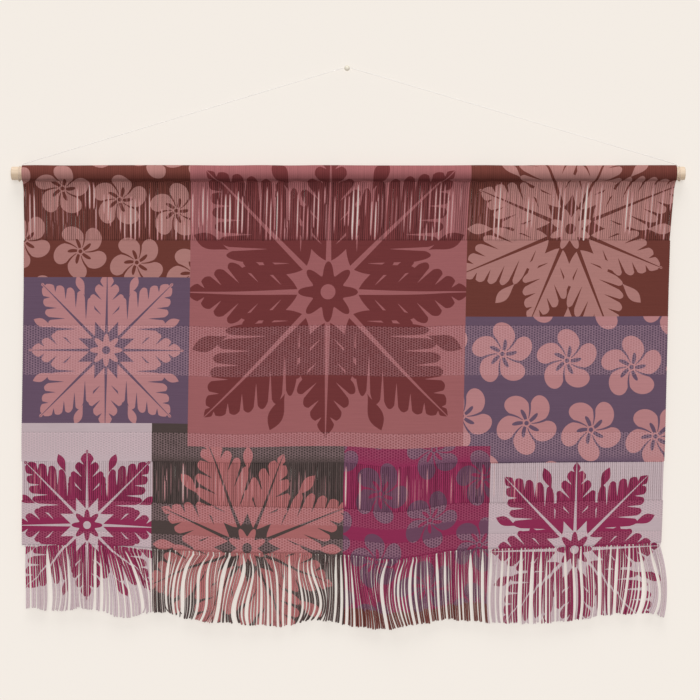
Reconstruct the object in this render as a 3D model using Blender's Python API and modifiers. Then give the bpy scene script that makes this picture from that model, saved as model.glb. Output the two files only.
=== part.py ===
"""Wall hanging of printed, banded cloth on a round wooden rod, hung by a cord from a wall pin.

The frame: origin on the wall at the middle of the pin, +X to the viewer's right, +Y into the
wall, +Z up. Everything lies in front of the wall, at negative Y. Sizes are in metres.
"""
import math

import bmesh
import bpy
import numpy as np
from mathutils import Vector
from mathutils.geometry import interpolate_bezier

MM = 0.001

# Rod
ROD_RADIUS = 12 * MM
ROD_LEFT = -598 * MM
ROD_RIGHT = 602 * MM
ROD_HEIGHT = -188.4 * MM
ROD_ROUNDING = 1.5 * MM
ROD_SIDES = 32

# Cloth
CLOTH = 1.5 * MM
REST_GAP = 0.3 * MM
POCKET_SIDES = 16
POCKET_RADIUS = 13 * MM
POCKET_DROP = POCKET_RADIUS * math.cos(math.pi / POCKET_SIDES) - ROD_RADIUS - REST_GAP
WALL_GAP = 0.5 * MM
ROD_DEPTH = -(POCKET_RADIUS + CLOTH + WALL_GAP)
COLUMNS = 44

# Heights of the woven bands' edges under the pin, with the rows of the mesh that each band gets
BANDS = (
    # band, lower_edge_mm, rows
    ("open warp, upper", -308.0, 2),
    ("plain, upper", -459.3, 2),
    ("basket, upper", -548.4, 1),
    ("plain, middle", -649.8, 2),
    ("basket, middle", -701.5, 1),
    ("open warp, lower", -770.9, 2),
    ("basket, lower", -803.0, 1),
    ("plain, lower", -826.1, 1),
    ("basket, hem", -851.0, 1),
)
POCKET_SEAM = ROD_HEIGHT - POCKET_DROP - POCKET_RADIUS - CLOTH
HEM = BANDS[-1][1] * MM

# Side edges of the cloth at some heights
SIDES = (
    # height_mm, left_mm, right_mm
    (-170.0, -578.8, 586.8),
    (-200.0, -578.4, 586.2),
    (-217.0, -576.4, 582.7),
    (-306.0, -574.9, 574.7),
    (-395.0, -575.2, 572.0),
    (-662.0, -579.0, 565.8),
    (-851.0, -578.3, 558.9),
)

# How far the weave has slipped down across the width: the middle seams, the edges of the lower
# open warp, and the hem
SAG = (
    # x_mm, seams_mm, warp_top_mm, warp_foot_mm, hem_mm
    (-579, 0.0, 0.0, 0.0, 0.0),
    (-440, 0.0, 0.0, 0.0, 0.0),
    (-307, 0.9, 0.5, 6.2, 8.9),
    (-191, 4.1, 2.5, 11.0, 13.4),
    (-84, 0.5, 2.5, 13.2, 15.1),
    (-4, 0.4, 2.7, 15.0, 17.1),
    (85, 3.2, 10.0, 21.0, 24.2),
    (129, 3.4, 7.0, 16.6, 19.6),
    (183, 0.9, 3.0, 7.1, 10.7),
    (272, 0.7, 1.8, 4.5, 5.9),
    (357, 0.5, 0.5, 2.7, 3.6),
    (450, 0.0, 0.0, 0.9, 0.9),
    (587, -0.5, -0.9, -0.5, -5.9),
)
# The heights at which each of those columns holds, from the pocket down
SAG_HEIGHTS_MM = (-203.0, -308.0, -459.3, -649.8, -701.5, -770.9, -826.1, -851.0)
SAG_COLUMNS = (None, None, 1, 1, 2, 3, 3, 4)

# Soft upright folds that grow towards the hem: forward of the sheet is negative
FOLDS = (
    # x_mm, half_width_mm, forward_mm
    (-470, 90, -2.5),
    (-330, 80, 2.5),
    (-205, 60, -3.5),
    (-70, 90, 3.0),
    (95, 48, -6.0),
    (190, 55, 4.0),
    (330, 90, -2.5),
    (470, 80, 3.0),
)

# The widest slits between the loose warp threads, cut through
SLITS = (
    # x_mm, width_mm, upper_end_mm, lower_end_mm
    (-564, 4.2, -232, -300),
    (-288, 4.2, -222, -296),
    (-211, 5.0, -214, -300),
    (-186, 4.8, -216, -302),
    (-86, 4.2, -226, -290),
    (14, 5.4, -210, -302),
    (131, 4.2, -224, -296),
    (266, 4.4, -216, -298),
    (323, 4.2, -228, -296),
    (380, 4.6, -220, -300),
    (423, 6.0, -209, -304),
    (498, 4.4, -216, -300),
    (-291, 4.4, -730, -768),
    (-188, 4.4, -733, -772),
    (-4, 5.2, -710, -782),
    (24, 5.2, -708, -784),
    (261, 4.4, -724, -768),
)
SLIT_SIDES = 8
SLIT_CUT = 30 * MM

# Fringe
STRANDS = 200
FRINGE_LEFT = -571 * MM
FRINGE_RIGHT = 557 * MM
STRIP = 8 * MM
STRAND_WIDTH = 3.4 * MM
STRAND_DEPTH = 1.9 * MM
LAYER_STEP = 1.3 * MM
STRAND_LEVELS = (0.2, 0.45, 0.72, 1.0)
LOCK_SEED = 7
LOCK_PULL = 0.16
CUT_UNEVEN = 2.5 * MM

# Sideways sweep of the strands, a third and two thirds of the way down and at the tips
SWAY = (
    # x_mm, third_mm, two_thirds_mm, tip_mm, length_mm
    (-571, 0.0, 0.0, 0.0, 112),
    (-545, 1.5, 4.0, 4.0, 116),
    (-515, 5.0, 8.0, 3.5, 117),
    (-478, 0.0, 0.0, 3.0, 115),
    (-450, 1.5, 2.0, 0.5, 119),
    (-415, 14.0, 22.0, 25.0, 128),
    (-393, 16.0, 27.0, 31.0, 121),
    (-368, 7.0, 13.0, 15.0, 115),
    (-348, 0.5, 0.5, 1.5, 114),
    (-320, -2.0, -3.0, 0.0, 112),
    (-300, -9.0, -14.0, -10.0, 113),
    (-262, -18.0, -20.0, -24.0, 121),
    (-232, -11.0, -12.0, -24.0, 125),
    (-200, -12.0, -20.0, -25.0, 127),
    (-180, 0.0, -12.0, -10.0, 129),
    (-160, 5.0, 6.0, 4.0, 131),
    (-145, 8.0, 10.0, 10.0, 132),
    (-104, 0.0, -1.0, -2.0, 130),
    (-77, 1.0, 9.0, -1.0, 122),
    (-62, 4.0, 15.0, 5.0, 120),
    (-28, 1.0, 1.0, -4.0, 122),
    (0, 1.0, 3.0, 3.0, 127),
    (30, 1.0, 9.0, 14.0, 130),
    (70, -7.0, -4.0, 3.0, 127),
    (90, -8.0, -6.0, 6.0, 123),
    (112, -8.0, -6.0, 2.0, 121),
    (135, 0.0, 2.0, 7.0, 121),
    (180, 0.0, 1.0, 4.0, 124),
    (225, 0.0, 1.0, 3.0, 129),
    (260, -1.5, -3.0, 0.0, 133),
    (320, -1.5, -3.0, -3.0, 136),
    (380, 0.0, 0.5, 0.0, 134),
    (430, 1.0, 3.0, -1.0, 130),
    (470, -1.0, -2.0, -2.0, 125),
    (510, 1.0, -2.0, -11.0, 126),
    (535, 10.0, 17.0, 8.0, 128),
    (557, 7.0, 9.0, 4.0, 136),
)

# Wall pin, as radii and distances out from the wall
PIN_NECK_RADIUS = 2 * MM
PIN_NECK_MIDDLE = 5 * MM
PIN_STEPS = 20
PIN_OUTLINE = (
    # radius_mm, out_mm
    (0.0, 12.4),
    (1.9, 12.1),
    (3.6, 11.2),
    (4.7, 9.8),
    (5.0, 8.8),
    (4.6, 8.2),
    (2.0, 7.8),
    (2.0, 2.2),
    (3.6, 1.8),
    (4.0, 1.2),
    (4.0, 0.0),
    (0.0, 0.0),
)

# Hanging cord
CORD_RADIUS = 0.7 * MM
CORD_SIDES_RESOLUTION = 2
CORD_TURNS = 1.5
CORD_PITCH = 2.0 * MM
CORD_LEAVES = math.radians(25)
CORD_EDGE_GAP = 3.0 * MM
CORD_INSIDE = 2.5 * MM
CORD_CLEARS = 17.2 * MM
CORD_BEND = 4.0 * MM
CORD_SLOPE = 0.3
TURN_POINTS = 15
BEND_POINTS = 7
RUN_POINTS = 6


def mixed(a, b, share):
    """The value that lies the given share of the way from a to b."""
    return a + (b - a) * share


def column(table, index):
    """One column of a table whose rows are tuples, as an array."""
    return np.array([row[index] for row in table], dtype=float)


def smooth_table(x_mm, table, index):
    """A smooth curve through a table's rows: cubic pieces whose slopes are the table's own."""
    xs = column(table, 0)
    ys = column(table, index)
    slopes = np.gradient(ys, xs)
    x = np.clip(x_mm, xs[0], xs[-1])
    cell = np.clip(np.searchsorted(xs, x) - 1, 0, len(xs) - 2)
    width = xs[cell + 1] - xs[cell]
    t = (x - xs[cell]) / width
    start = (1 + 2 * t) * (1 - t) ** 2 * ys[cell] + t * (1 - t) ** 2 * width * slopes[cell]
    end = t * t * (3 - 2 * t) * ys[cell + 1] + t * t * (t - 1) * width * slopes[cell + 1]
    return start + end


def sag(x, z):
    """How far the cloth at x has slipped below its straight height z."""
    levels = []
    for index in SAG_COLUMNS:
        levels.append(0.0 if index is None else float(smooth_table(x / MM, SAG, index)))
    rising = np.array(SAG_HEIGHTS_MM[::-1])
    return float(np.interp(z / MM, rising, levels[::-1])) * MM


def side_edge(z, index):
    """The left or right edge of the cloth at height z."""
    rising = SIDES[::-1]
    return float(np.interp(z / MM, column(rising, 0), column(rising, index))) * MM


def fold_depth(x, z):
    """Where the middle of the sheet lies in depth: plumb under the rod, with soft folds below."""
    grown = max(0.0, (POCKET_SEAM - z) / (POCKET_SEAM - HEM)) ** 1.3
    waves = 0.0
    for middle, half_width, forward in FOLDS:
        waves += forward * math.exp(-((x / MM - middle) / half_width) ** 2)
    return ROD_DEPTH + waves * grown * MM


def hung(share, y, z):
    """Carry a point of the straight section to its place in the hanging cloth."""
    x = mixed(side_edge(z, 1), side_edge(z, 2), share)
    if z > POCKET_SEAM - CLOTH / 10:
        return Vector((x, y + ROD_DEPTH, z))
    return Vector((x, y + fold_depth(x, z), z - sag(x, z)))


def material(name, colour, roughness, metallic=0.0):
    """A Principled material of one colour."""
    made = bpy.data.materials.new(name)
    made.use_nodes = True
    shader = made.node_tree.nodes["Principled BSDF"]
    shader.inputs["Base Color"].default_value = (*colour, 1.0)
    shader.inputs["Roughness"].default_value = roughness
    shader.inputs["Metallic"].default_value = metallic
    return made


def add_object(name, data, collection, finish=None):
    """Put mesh or curve data into a collection as a named object with its material."""
    made = bpy.data.objects.new(name, data)
    collection.objects.link(made)
    if finish:
        data.materials.append(finish)
    return made


def mesh_from(name, bm):
    """A mesh of a finished bmesh with its faces pointing out."""
    bmesh.ops.recalc_face_normals(bm, faces=bm.faces[:])
    data = bpy.data.meshes.new(name)
    bm.to_mesh(data)
    bm.free()
    return data


def make_rod(collection):
    """The wooden rod: a round bar with softened ends."""
    length = ROD_RIGHT - ROD_LEFT
    bm = bmesh.new()
    bmesh.ops.create_cone(bm, cap_ends=True, segments=ROD_SIDES, radius1=ROD_RADIUS,
                          radius2=ROD_RADIUS, depth=length)
    rod = add_object("rod", mesh_from("rod", bm), collection,
                     material("pale_wood", (0.72, 0.55, 0.38), 0.55))
    rod.rotation_euler = (0.0, math.pi / 2, 0.0)
    rod.location = ((ROD_LEFT + ROD_RIGHT) / 2, ROD_DEPTH, ROD_HEIGHT)
    rod.data.shade_smooth()
    rounding = rod.modifiers.new("softened_ends", "BEVEL")
    rounding.width = ROD_ROUNDING
    rounding.segments = 2
    rounding.limit_method = "ANGLE"
    return rod


def section_rows():
    """The section of the cloth, front and back points side by side, from the pocket's front
    seam over the rod to its back seam, and the tail's rows from the seam to the hem."""
    outer_radius = POCKET_RADIUS + CLOTH
    opening = math.asin(CLOTH / 2 / outer_radius)
    pocket = []
    for step in range(POCKET_SIDES + 1):
        turn = mixed(opening, 2 * math.pi - opening, step / POCKET_SIDES)
        across = Vector((0.0, -math.sin(turn), -math.cos(turn)))
        middle = Vector((0.0, 0.0, ROD_HEIGHT - POCKET_DROP))
        pocket.append((middle + across * outer_radius, middle + across * POCKET_RADIUS))
    tail = []
    top = POCKET_SEAM
    for _, lower_edge_mm, rows in BANDS:
        for row in range(1, rows + 1):
            z = mixed(top, lower_edge_mm * MM, row / rows)
            tail.append((Vector((0.0, -CLOTH / 2, z)), Vector((0.0, CLOTH / 2, z))))
        top = lower_edge_mm * MM
    return pocket, tail


def section_faces(bm):
    """One end of the cloth: the pocket's ring of quads, its closing seam and the tail."""
    pocket, tail = section_rows()
    ring = [[bm.verts.new(point) for point in pair] for pair in pocket]
    rows = [[ring[0][0], ring[-1][0]]]
    rows += [[bm.verts.new(point) for point in pair] for pair in tail]
    faces = [bm.faces.new((ring[0][0], ring[0][1], ring[-1][1], ring[-1][0]))]
    for near, far in zip(ring, ring[1:]):
        faces.append(bm.faces.new((near[0], far[0], far[1], near[1])))
    for above, below in zip(rows, rows[1:]):
        faces.append(bm.faces.new((above[0], above[1], below[1], below[0])))
    return faces


def extruded(bm, faces, move):
    """Extrude a patch of faces by one step and return the new patch."""
    edges = list({edge for face in faces for edge in face.edges})
    result = bmesh.ops.extrude_face_region(bm, geom=faces + edges)["geom"]
    points = [item for item in result if isinstance(item, bmesh.types.BMVert)]
    bmesh.ops.translate(bm, verts=points, vec=move)
    return [item for item in result if isinstance(item, bmesh.types.BMFace)]


def make_cloth(collection, cutters):
    """The cloth: its section extruded across the width, hung, and slit between warp threads."""
    bm = bmesh.new()
    faces = section_faces(bm)
    for _ in range(COLUMNS):
        faces = extruded(bm, faces, Vector((1 / COLUMNS, 0.0, 0.0)))
    for vert in bm.verts:
        vert.co = hung(vert.co.x, vert.co.y, vert.co.z)
    cloth = add_object("cloth", mesh_from("cloth", bm), collection,
                       material("printed_weave", (0.30, 0.10, 0.10), 0.9))
    slits = cloth.modifiers.new("warp_slits", "BOOLEAN")
    slits.operation = "DIFFERENCE"
    slits.solver = "EXACT"
    slits.object = make_slit_cutters(cutters)
    return cloth


def make_slit_cutters(cutters):
    """Upright lens shapes through the sheet, one for each slit."""
    bm = bmesh.new()
    for x_mm, width_mm, upper_mm, lower_mm in SLITS:
        x = x_mm * MM
        z = (upper_mm + lower_mm) / 2 * MM
        lens = bmesh.ops.create_cone(bm, cap_ends=True, segments=SLIT_SIDES, radius1=0.5,
                                     radius2=0.5, depth=SLIT_CUT)["verts"]
        for vert in lens:
            across = vert.co.x * width_mm * MM
            along = vert.co.y * (upper_mm - lower_mm) * MM
            vert.co = Vector((x + across, fold_depth(x, z) + vert.co.z, z - sag(x, z) + along))
    cutter = add_object("slit_cutters", mesh_from("slit_cutters", bm), cutters)
    cutter.hide_render = True
    cutter.display_type = "WIRE"
    return cutter


def hem_line():
    """A function that gives the hem's height and depth at x, on the cloth's straight columns."""
    corners = np.array([hung(share, 0.0, HEM) for share in np.linspace(0.0, 1.0, COLUMNS + 1)])

    def hem_at(x):
        height = float(np.interp(x, corners[:, 0], corners[:, 2]))
        depth = float(np.interp(x, corners[:, 0], corners[:, 1]))
        return height, depth

    return hem_at


def lock_pulls():
    """For each strand, how far it is drawn towards the middle of its lock of yarns."""
    random = np.random.default_rng(LOCK_SEED)
    pitch = (FRINGE_RIGHT - FRINGE_LEFT) / STRANDS
    pulls = []
    while len(pulls) < STRANDS:
        size = int(random.integers(2, 8))
        middle = (size - 1) / 2
        pulls += [(middle - place) * pitch * LOCK_PULL for place in range(size)]
    return pulls[:STRANDS]


def strand_shift(x, level):
    """Sideways sweep of a strand rooted at x, at a share of its length from root to tip."""
    heights = (0.0, 1 / 3, 2 / 3, 1.0)
    sweep = [0.0] + [float(smooth_table(x / MM, SWAY, index)) for index in (1, 2, 3)]
    return float(np.interp(level, heights, sweep)) * MM


def make_fringe(collection):
    """The fringe: a narrow strip under the hem, and a strand drawn out of each of its cells."""
    random = np.random.default_rng(LOCK_SEED + 1)
    pulls = lock_pulls()
    hem_at = hem_line()
    pitch = (FRINGE_RIGHT - FRINGE_LEFT) / STRANDS
    bm = bmesh.new()
    front = [bm.verts.new((index, -0.5, 0.0)) for index in range(STRANDS + 1)]
    back = [bm.verts.new((index, 0.5, 0.0)) for index in range(STRANDS + 1)]
    cells = []
    for index in range(STRANDS):
        cells.append(bm.faces.new((front[index], front[index + 1], back[index + 1], back[index])))
    cells = extruded(bm, cells, Vector((0.0, 0.0, -1.0)))
    for vert in bm.verts:
        x = FRINGE_LEFT + vert.co.x * pitch
        height, depth = hem_at(x)
        drop = REST_GAP if vert.co.z > -0.5 else REST_GAP + STRIP
        vert.co = Vector((x, depth + vert.co.y * CLOTH, height - drop))
    cells.sort(key=lambda face: face.calc_center_median().x)
    for index, cell in enumerate(cells):
        x = FRINGE_LEFT + (index + 0.5) * pitch
        height, depth = hem_at(x)
        length = float(smooth_table(x / MM, SWAY, 4)) * MM - STRIP
        length += float(random.uniform(-1.0, 1.0)) * CUT_UNEVEN
        layer = LAYER_STEP if index % 2 else -LAYER_STEP
        for level in STRAND_LEVELS:
            drawn = bmesh.ops.extrude_discrete_faces(bm, faces=[cell])["faces"][0]
            centre = Vector((x + strand_shift(x, level) + pulls[index] * min(1.0, 2 * level),
                             depth + layer, height - REST_GAP - STRIP - level * length))
            middle = drawn.calc_center_median()
            for vert in drawn.verts:
                side = math.copysign(STRAND_WIDTH / 2, vert.co.x - middle.x)
                face = math.copysign(STRAND_DEPTH / 2, vert.co.y - middle.y)
                vert.co = centre + Vector((side, face, 0.0))
            cell = drawn
    return add_object("fringe", mesh_from("fringe", bm), collection,
                      material("fringe_yarn", (0.34, 0.08, 0.15), 0.9))


def make_pin(collection):
    """The wall pin: a turned outline with its flat foot on the wall and its head outwards."""
    bm = bmesh.new()
    points = [bm.verts.new((radius * MM, 0.0, out * MM)) for radius, out in PIN_OUTLINE]
    for first, second in zip(points, points[1:]):
        bm.edges.new((first, second))
    data = bpy.data.meshes.new("wall_pin")
    bm.to_mesh(data)
    bm.free()
    pin = add_object("wall_pin", data, collection,
                     material("painted_pin", (0.66, 0.56, 0.45), 0.45))
    pin.rotation_euler = (math.pi / 2, 0.0, 0.0)
    turning = pin.modifiers.new("turned", "SCREW")
    turning.axis = "Z"
    turning.steps = PIN_STEPS
    turning.render_steps = PIN_STEPS
    turning.use_merge_vertices = True
    turning.merge_threshold = 0.00001
    turning.use_smooth_shade = True
    return pin


def cord_end(side, edge):
    """The turns round the rod beside one end of the pocket, from the cord's tail, and the bend
    from the last turn up over the pocket's corner."""
    radius = (ROD_RADIUS + REST_GAP + CORD_RADIUS) / math.cos(math.pi / TURN_POINTS)
    axis = Vector((edge + side * CORD_EDGE_GAP, ROD_DEPTH, ROD_HEIGHT))
    points = []
    for step in range(int(CORD_TURNS * TURN_POINTS) + 1):
        left = CORD_TURNS - step / TURN_POINTS
        turn = 2 * math.pi * left + CORD_LEAVES
        points.append(axis + Vector((side * CORD_PITCH * left,
                                     -radius * math.sin(turn), radius * math.cos(turn))))
    leaving = Vector((0.0, math.cos(CORD_LEAVES), math.sin(CORD_LEAVES))) * CORD_BEND
    over_corner = Vector((edge - side * CORD_INSIDE, ROD_DEPTH, ROD_HEIGHT + CORD_CLEARS))
    arriving = Vector((side, 0.0, -CORD_SLOPE)) * CORD_BEND
    bend = interpolate_bezier(points[-1], points[-1] + leaving, over_corner + arriving,
                              over_corner, BEND_POINTS)
    return points + list(bend[1:])


def cord_route():
    """The cord's middle line: turns round the rod, a straight run up to the pin, over its neck,
    and down to the turns at the other end."""
    over = PIN_NECK_RADIUS + REST_GAP + CORD_RADIUS
    left = cord_end(-1, SIDES[0][1] * MM)
    right = cord_end(1, SIDES[0][2] * MM)
    crown = []
    for step in range(-1, 2):
        turn = step * math.atan(CORD_SLOPE)
        crown.append(Vector((over * math.sin(turn), -PIN_NECK_MIDDLE, over * math.cos(turn))))
    up = [left[-1].lerp(crown[0], step / RUN_POINTS) for step in range(1, RUN_POINTS)]
    down = [crown[-1].lerp(right[-1], step / RUN_POINTS) for step in range(1, RUN_POINTS)]
    return left + up + crown + down + right[::-1]


def make_cord(collection):
    """The hanging cord: one tube along its route."""
    route = cord_route()
    curve = bpy.data.curves.new("hanging_cord", "CURVE")
    curve.dimensions = "3D"
    spline = curve.splines.new("POLY")
    spline.points.add(len(route) - 1)
    for point, place in zip(spline.points, route):
        point.co = (*place, 1.0)
    curve.bevel_depth = CORD_RADIUS
    curve.bevel_resolution = CORD_SIDES_RESOLUTION
    curve.use_fill_caps = True
    return add_object("hanging_cord", curve, collection,
                      material("undyed_cord", (0.86, 0.82, 0.75), 0.85))


def make_hanging():
    """Clear the scene and make the whole object."""
    for old in list(bpy.data.objects):
        bpy.data.objects.remove(old)
    parts = bpy.data.collections.new("wall_hanging")
    cutters = bpy.data.collections.new("cutters")
    bpy.context.scene.collection.children.link(parts)
    bpy.context.scene.collection.children.link(cutters)
    make_rod(parts)
    make_cloth(parts, cutters)
    make_fringe(parts)
    make_pin(parts)
    make_cord(parts)


make_hanging()
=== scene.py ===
# %% [markdown]
# # A printed, banded wall hanging on its rod
#
# The real hanging is one long weave: a pocket for the rod, bands where the weft is left out so
# that loose warp threads show, plain bands, open basket bands, and a fringe where the warp runs
# free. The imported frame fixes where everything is; this script only makes how it looks.

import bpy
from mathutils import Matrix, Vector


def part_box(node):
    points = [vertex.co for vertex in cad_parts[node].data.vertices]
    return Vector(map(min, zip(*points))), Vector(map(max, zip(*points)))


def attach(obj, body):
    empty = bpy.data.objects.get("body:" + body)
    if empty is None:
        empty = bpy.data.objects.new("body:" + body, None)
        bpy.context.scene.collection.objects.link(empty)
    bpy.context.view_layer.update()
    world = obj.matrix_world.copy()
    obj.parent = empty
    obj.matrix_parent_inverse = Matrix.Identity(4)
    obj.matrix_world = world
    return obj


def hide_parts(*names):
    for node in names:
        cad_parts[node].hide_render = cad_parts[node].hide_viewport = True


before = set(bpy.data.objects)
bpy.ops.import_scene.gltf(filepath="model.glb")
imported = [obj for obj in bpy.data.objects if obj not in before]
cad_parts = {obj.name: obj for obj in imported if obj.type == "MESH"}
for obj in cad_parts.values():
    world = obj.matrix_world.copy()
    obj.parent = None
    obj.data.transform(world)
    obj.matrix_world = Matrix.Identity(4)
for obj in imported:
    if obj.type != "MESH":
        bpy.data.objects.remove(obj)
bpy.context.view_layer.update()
print("nodes of the frame:", sorted(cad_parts))

# %% [markdown]
# Tables are written in millimetres, because a weaver measures in them, and everything that is
# made is in metres. The rod is read from the frame, so nothing has to be fitted to it.

# %% Units and the rod's own size
import math

import bpy
import numpy as np
from mathutils import Vector

MM = 0.001
FULL_TURN = 2 * math.pi
rod_low, rod_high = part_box("rod")
ROD_RADIUS = (rod_high.z - rod_low.z) / 2
ROD_DEPTH = (rod_low.y + rod_high.y) / 2
ROD_HEIGHT = (rod_low.z + rod_high.z) / 2
print("rod radius", round(ROD_RADIUS / MM, 2), "mm, its middle at height", round(ROD_HEIGHT / MM, 1))

# %% [markdown]
# The photograph is taken square on with a long lens, so the camera stands four metres off and
# the lens follows from the width that the picture spans at the hanging.

# %% Camera
PICTURE_WIDTH = 1247.6 * MM
PICTURE_MIDDLE = (5.2 * MM, -503.2 * MM)
CAMERA_DISTANCE = 4.0
SENSOR_MM = 36.0


def make_camera():
    """A camera in front of the hanging: lens = sensor times distance over the width it sees."""
    data = bpy.data.cameras.new("camera")
    data.sensor_width = SENSOR_MM
    data.lens = SENSOR_MM * CAMERA_DISTANCE / PICTURE_WIDTH
    camera = bpy.data.objects.new("camera", data)
    camera.location = (PICTURE_MIDDLE[0], ROD_DEPTH - CAMERA_DISTANCE, PICTURE_MIDDLE[1])
    camera.rotation_euler = (math.pi / 2, 0.0, 0.0)
    bpy.context.scene.collection.objects.link(camera)
    bpy.context.scene.camera = camera
    bpy.context.scene.view_settings.view_transform = "Standard"
    return data.lens


print("lens", round(make_camera(), 1), "mm")

# %% [markdown]
# Every new piece here is either a closed sheet or a closed tube, or a bundle of tubes. Both are
# worked out as whole arrays of points and then put into a mesh in one go. A group is an array
# of faces that all have the same number of corners, so quads and end caps can go into one mesh.

# %% Meshes from arrays


def new_object(name, points, groups):
    """An object of a mesh whose vertices are points and whose faces are the rows of groups."""
    data = bpy.data.meshes.new(name)
    points = np.asarray(points, dtype=np.float32).reshape(-1, 3)
    corners = np.concatenate([group.ravel() for group in groups])
    totals = np.concatenate([np.full(len(group), group.shape[1]) for group in groups])
    data.vertices.add(len(points))
    data.vertices.foreach_set("co", points.ravel())
    data.loops.add(len(corners))
    data.loops.foreach_set("vertex_index", corners.astype(np.int32))
    data.polygons.add(len(totals))
    data.polygons.foreach_set("loop_start", (np.cumsum(totals) - totals).astype(np.int32))
    data.update(calc_edges=True)
    data.shade_smooth()
    made = bpy.data.objects.new(name, data)
    bpy.context.scene.collection.objects.link(made)
    return made


def corner_layout(data):
    """For each face corner of a mesh: its vertex, and its face."""
    vertex = np.zeros(len(data.loops), dtype=np.int32)
    data.loops.foreach_get("vertex_index", vertex)
    totals = np.zeros(len(data.polygons), dtype=np.int32)
    data.polygons.foreach_get("loop_total", totals)
    return vertex, np.repeat(np.arange(len(totals)), totals)


def set_values(data, name, kind, domain, values):
    """Store values on a mesh as a named attribute of one kind, on its points or its corners."""
    field = {"FLOAT": "value", "FLOAT_VECTOR": "vector", "FLOAT_COLOR": "color"}[kind]
    made = data.attributes.new(name, kind, domain)
    made.data.foreach_set(field, np.asarray(values, dtype=np.float32).ravel())


def set_points(data, **named):
    """Store numbers on a mesh's points under their names; a single number goes to every point."""
    for name, values in named.items():
        set_values(data, name, "FLOAT", "POINT", np.broadcast_to(values, len(data.vertices)))


def set_uv(data, name, pairs):
    """Store a pair of coordinates for each face corner as a UV map."""
    layer = data.uv_layers.new(name=name)
    layer.uv.foreach_set("vector", np.asarray(pairs, dtype=np.float32).ravel())


def tell(piece):
    """Print how many triangles a piece comes to: a face has two fewer than it has corners."""
    print(piece.name, "triangles", len(piece.data.loops) - 2 * len(piece.data.polygons))


def along(lines):
    """Distance along each line of points from its first point."""
    steps = np.linalg.norm(np.diff(lines, axis=-2), axis=-1)
    start = np.zeros(steps.shape[:-1] + (1,))
    return np.concatenate([start, np.cumsum(steps, axis=-1)], axis=-1)


def unit(vectors):
    """Vectors scaled to length one."""
    return vectors / np.maximum(np.linalg.norm(vectors, axis=-1, keepdims=True), 1e-12)


# %% [markdown]
# A yarn is a tube: a small ring of points carried along a line. The ring lies across the line,
# so its two directions are found from the line's own direction and a reference that never runs
# along it. Many yarns are made as one array, one row for each, because a loop over hundreds of
# objects would be slow and heavy.

# %% Tubes along lines


def make_tubes(name, lines, half_width, half_depth, sides, reference=(0.0, 1.0, 0.0), turn=0.0,
               lobes=0, lobe_depth=0.0):
    """Closed tubes. A ring's point is line + half_width cos(a) across + half_depth sin(a) inward,
    where a goes once round and turn is added to it along the line; with lobes, its radius
    swells that many times round by the share lobe_depth."""
    lines = np.asarray(lines, dtype=float)
    count, length = lines.shape[:2]
    tangent = unit(np.gradient(lines, axis=1))
    across = unit(np.cross(np.broadcast_to(reference, lines.shape), tangent))
    inward = np.cross(tangent, across)
    angle = np.arange(sides) * FULL_TURN / sides
    swell = 1 - lobe_depth * (0.5 - 0.5 * np.cos(lobes * angle)) if lobes else np.ones(sides)
    spin = angle + np.broadcast_to(turn, (count, length))[..., None]
    wide = np.broadcast_to(half_width, (count, length))[..., None] * np.cos(spin) * swell
    deep = np.broadcast_to(half_depth, (count, length))[..., None] * np.sin(spin) * swell
    points = (lines[:, :, None] + wide[..., None] * across[:, :, None]
              + deep[..., None] * inward[:, :, None])
    index = np.arange(count * length * sides).reshape(count, length, sides)
    nxt = np.roll(index, -1, axis=2)
    walls = np.stack([index[:, :-1], nxt[:, :-1], nxt[:, 1:], index[:, 1:]], axis=-1)
    made = new_object(name, points, [walls.reshape(-1, 4), index[:, 0, ::-1], index[:, -1]])
    run = along(lines)
    step = np.arange(sides)
    low = np.broadcast_to(run[:, :-1, None], walls.shape[:3])
    high = np.broadcast_to(run[:, 1:, None], walls.shape[:3])
    near = np.broadcast_to(step / sides, walls.shape[:3])
    far = np.broadcast_to((step + 1) / sides, walls.shape[:3])
    wall_uv = np.stack([near, low, far, low, far, high, near, high], axis=-1).reshape(-1, 2)
    caps = np.concatenate([np.repeat(run[:, 0], sides), np.repeat(run[:, -1], sides)])
    cap_uv = np.stack([np.full(len(caps), 0.5), caps], axis=-1)
    set_uv(made.data, "yarn", np.concatenate([wall_uv, cap_uv]))
    return made


# %% [markdown]
# The hanging cord comes first, because its room is checked. It winds round the rod one and a
# half times beside each end of the pocket, leaves the last turn upwards, bends over the corner
# of the cloth and runs straight to the pin, because the hanging's weight holds it taut. The
# real cord is three plies twisted together, so its ring has three lobes that turn as it goes.

# %% Route of the hanging cord
CLOTH_LEFT = -578.8 * MM
CLOTH_RIGHT = 586.8 * MM
CORD_RADIUS = 0.7 * MM
REST_GAP = 0.3 * MM
CORD_TURNS = 1.5
TURN_PITCH = 2.0 * MM
CORD_LEAVES = math.radians(25)
CORD_EDGE_GAP = 3.0 * MM
CORD_INSIDE = 2.5 * MM
CORD_CLEARS = 17.2 * MM
CORD_BEND = 4.0 * MM
CORD_SLOPE = 0.3
PIN_NECK_RADIUS = 2.0 * MM
PIN_NECK_MIDDLE = 5.0 * MM
TURN_POINTS = 60
BEND_POINTS = 24
CROWN_POINTS = 9
CORD_STEP = 0.7 * MM


def bezier(start, start_pull, end_pull, end, count):
    """Points of a cubic curve, without its first point."""
    t = np.linspace(0.0, 1.0, count + 1)[1:, None]
    return ((1 - t) ** 3 * start + 3 * t * (1 - t) ** 2 * start_pull
            + 3 * t * t * (1 - t) * end_pull + t ** 3 * end)


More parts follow.
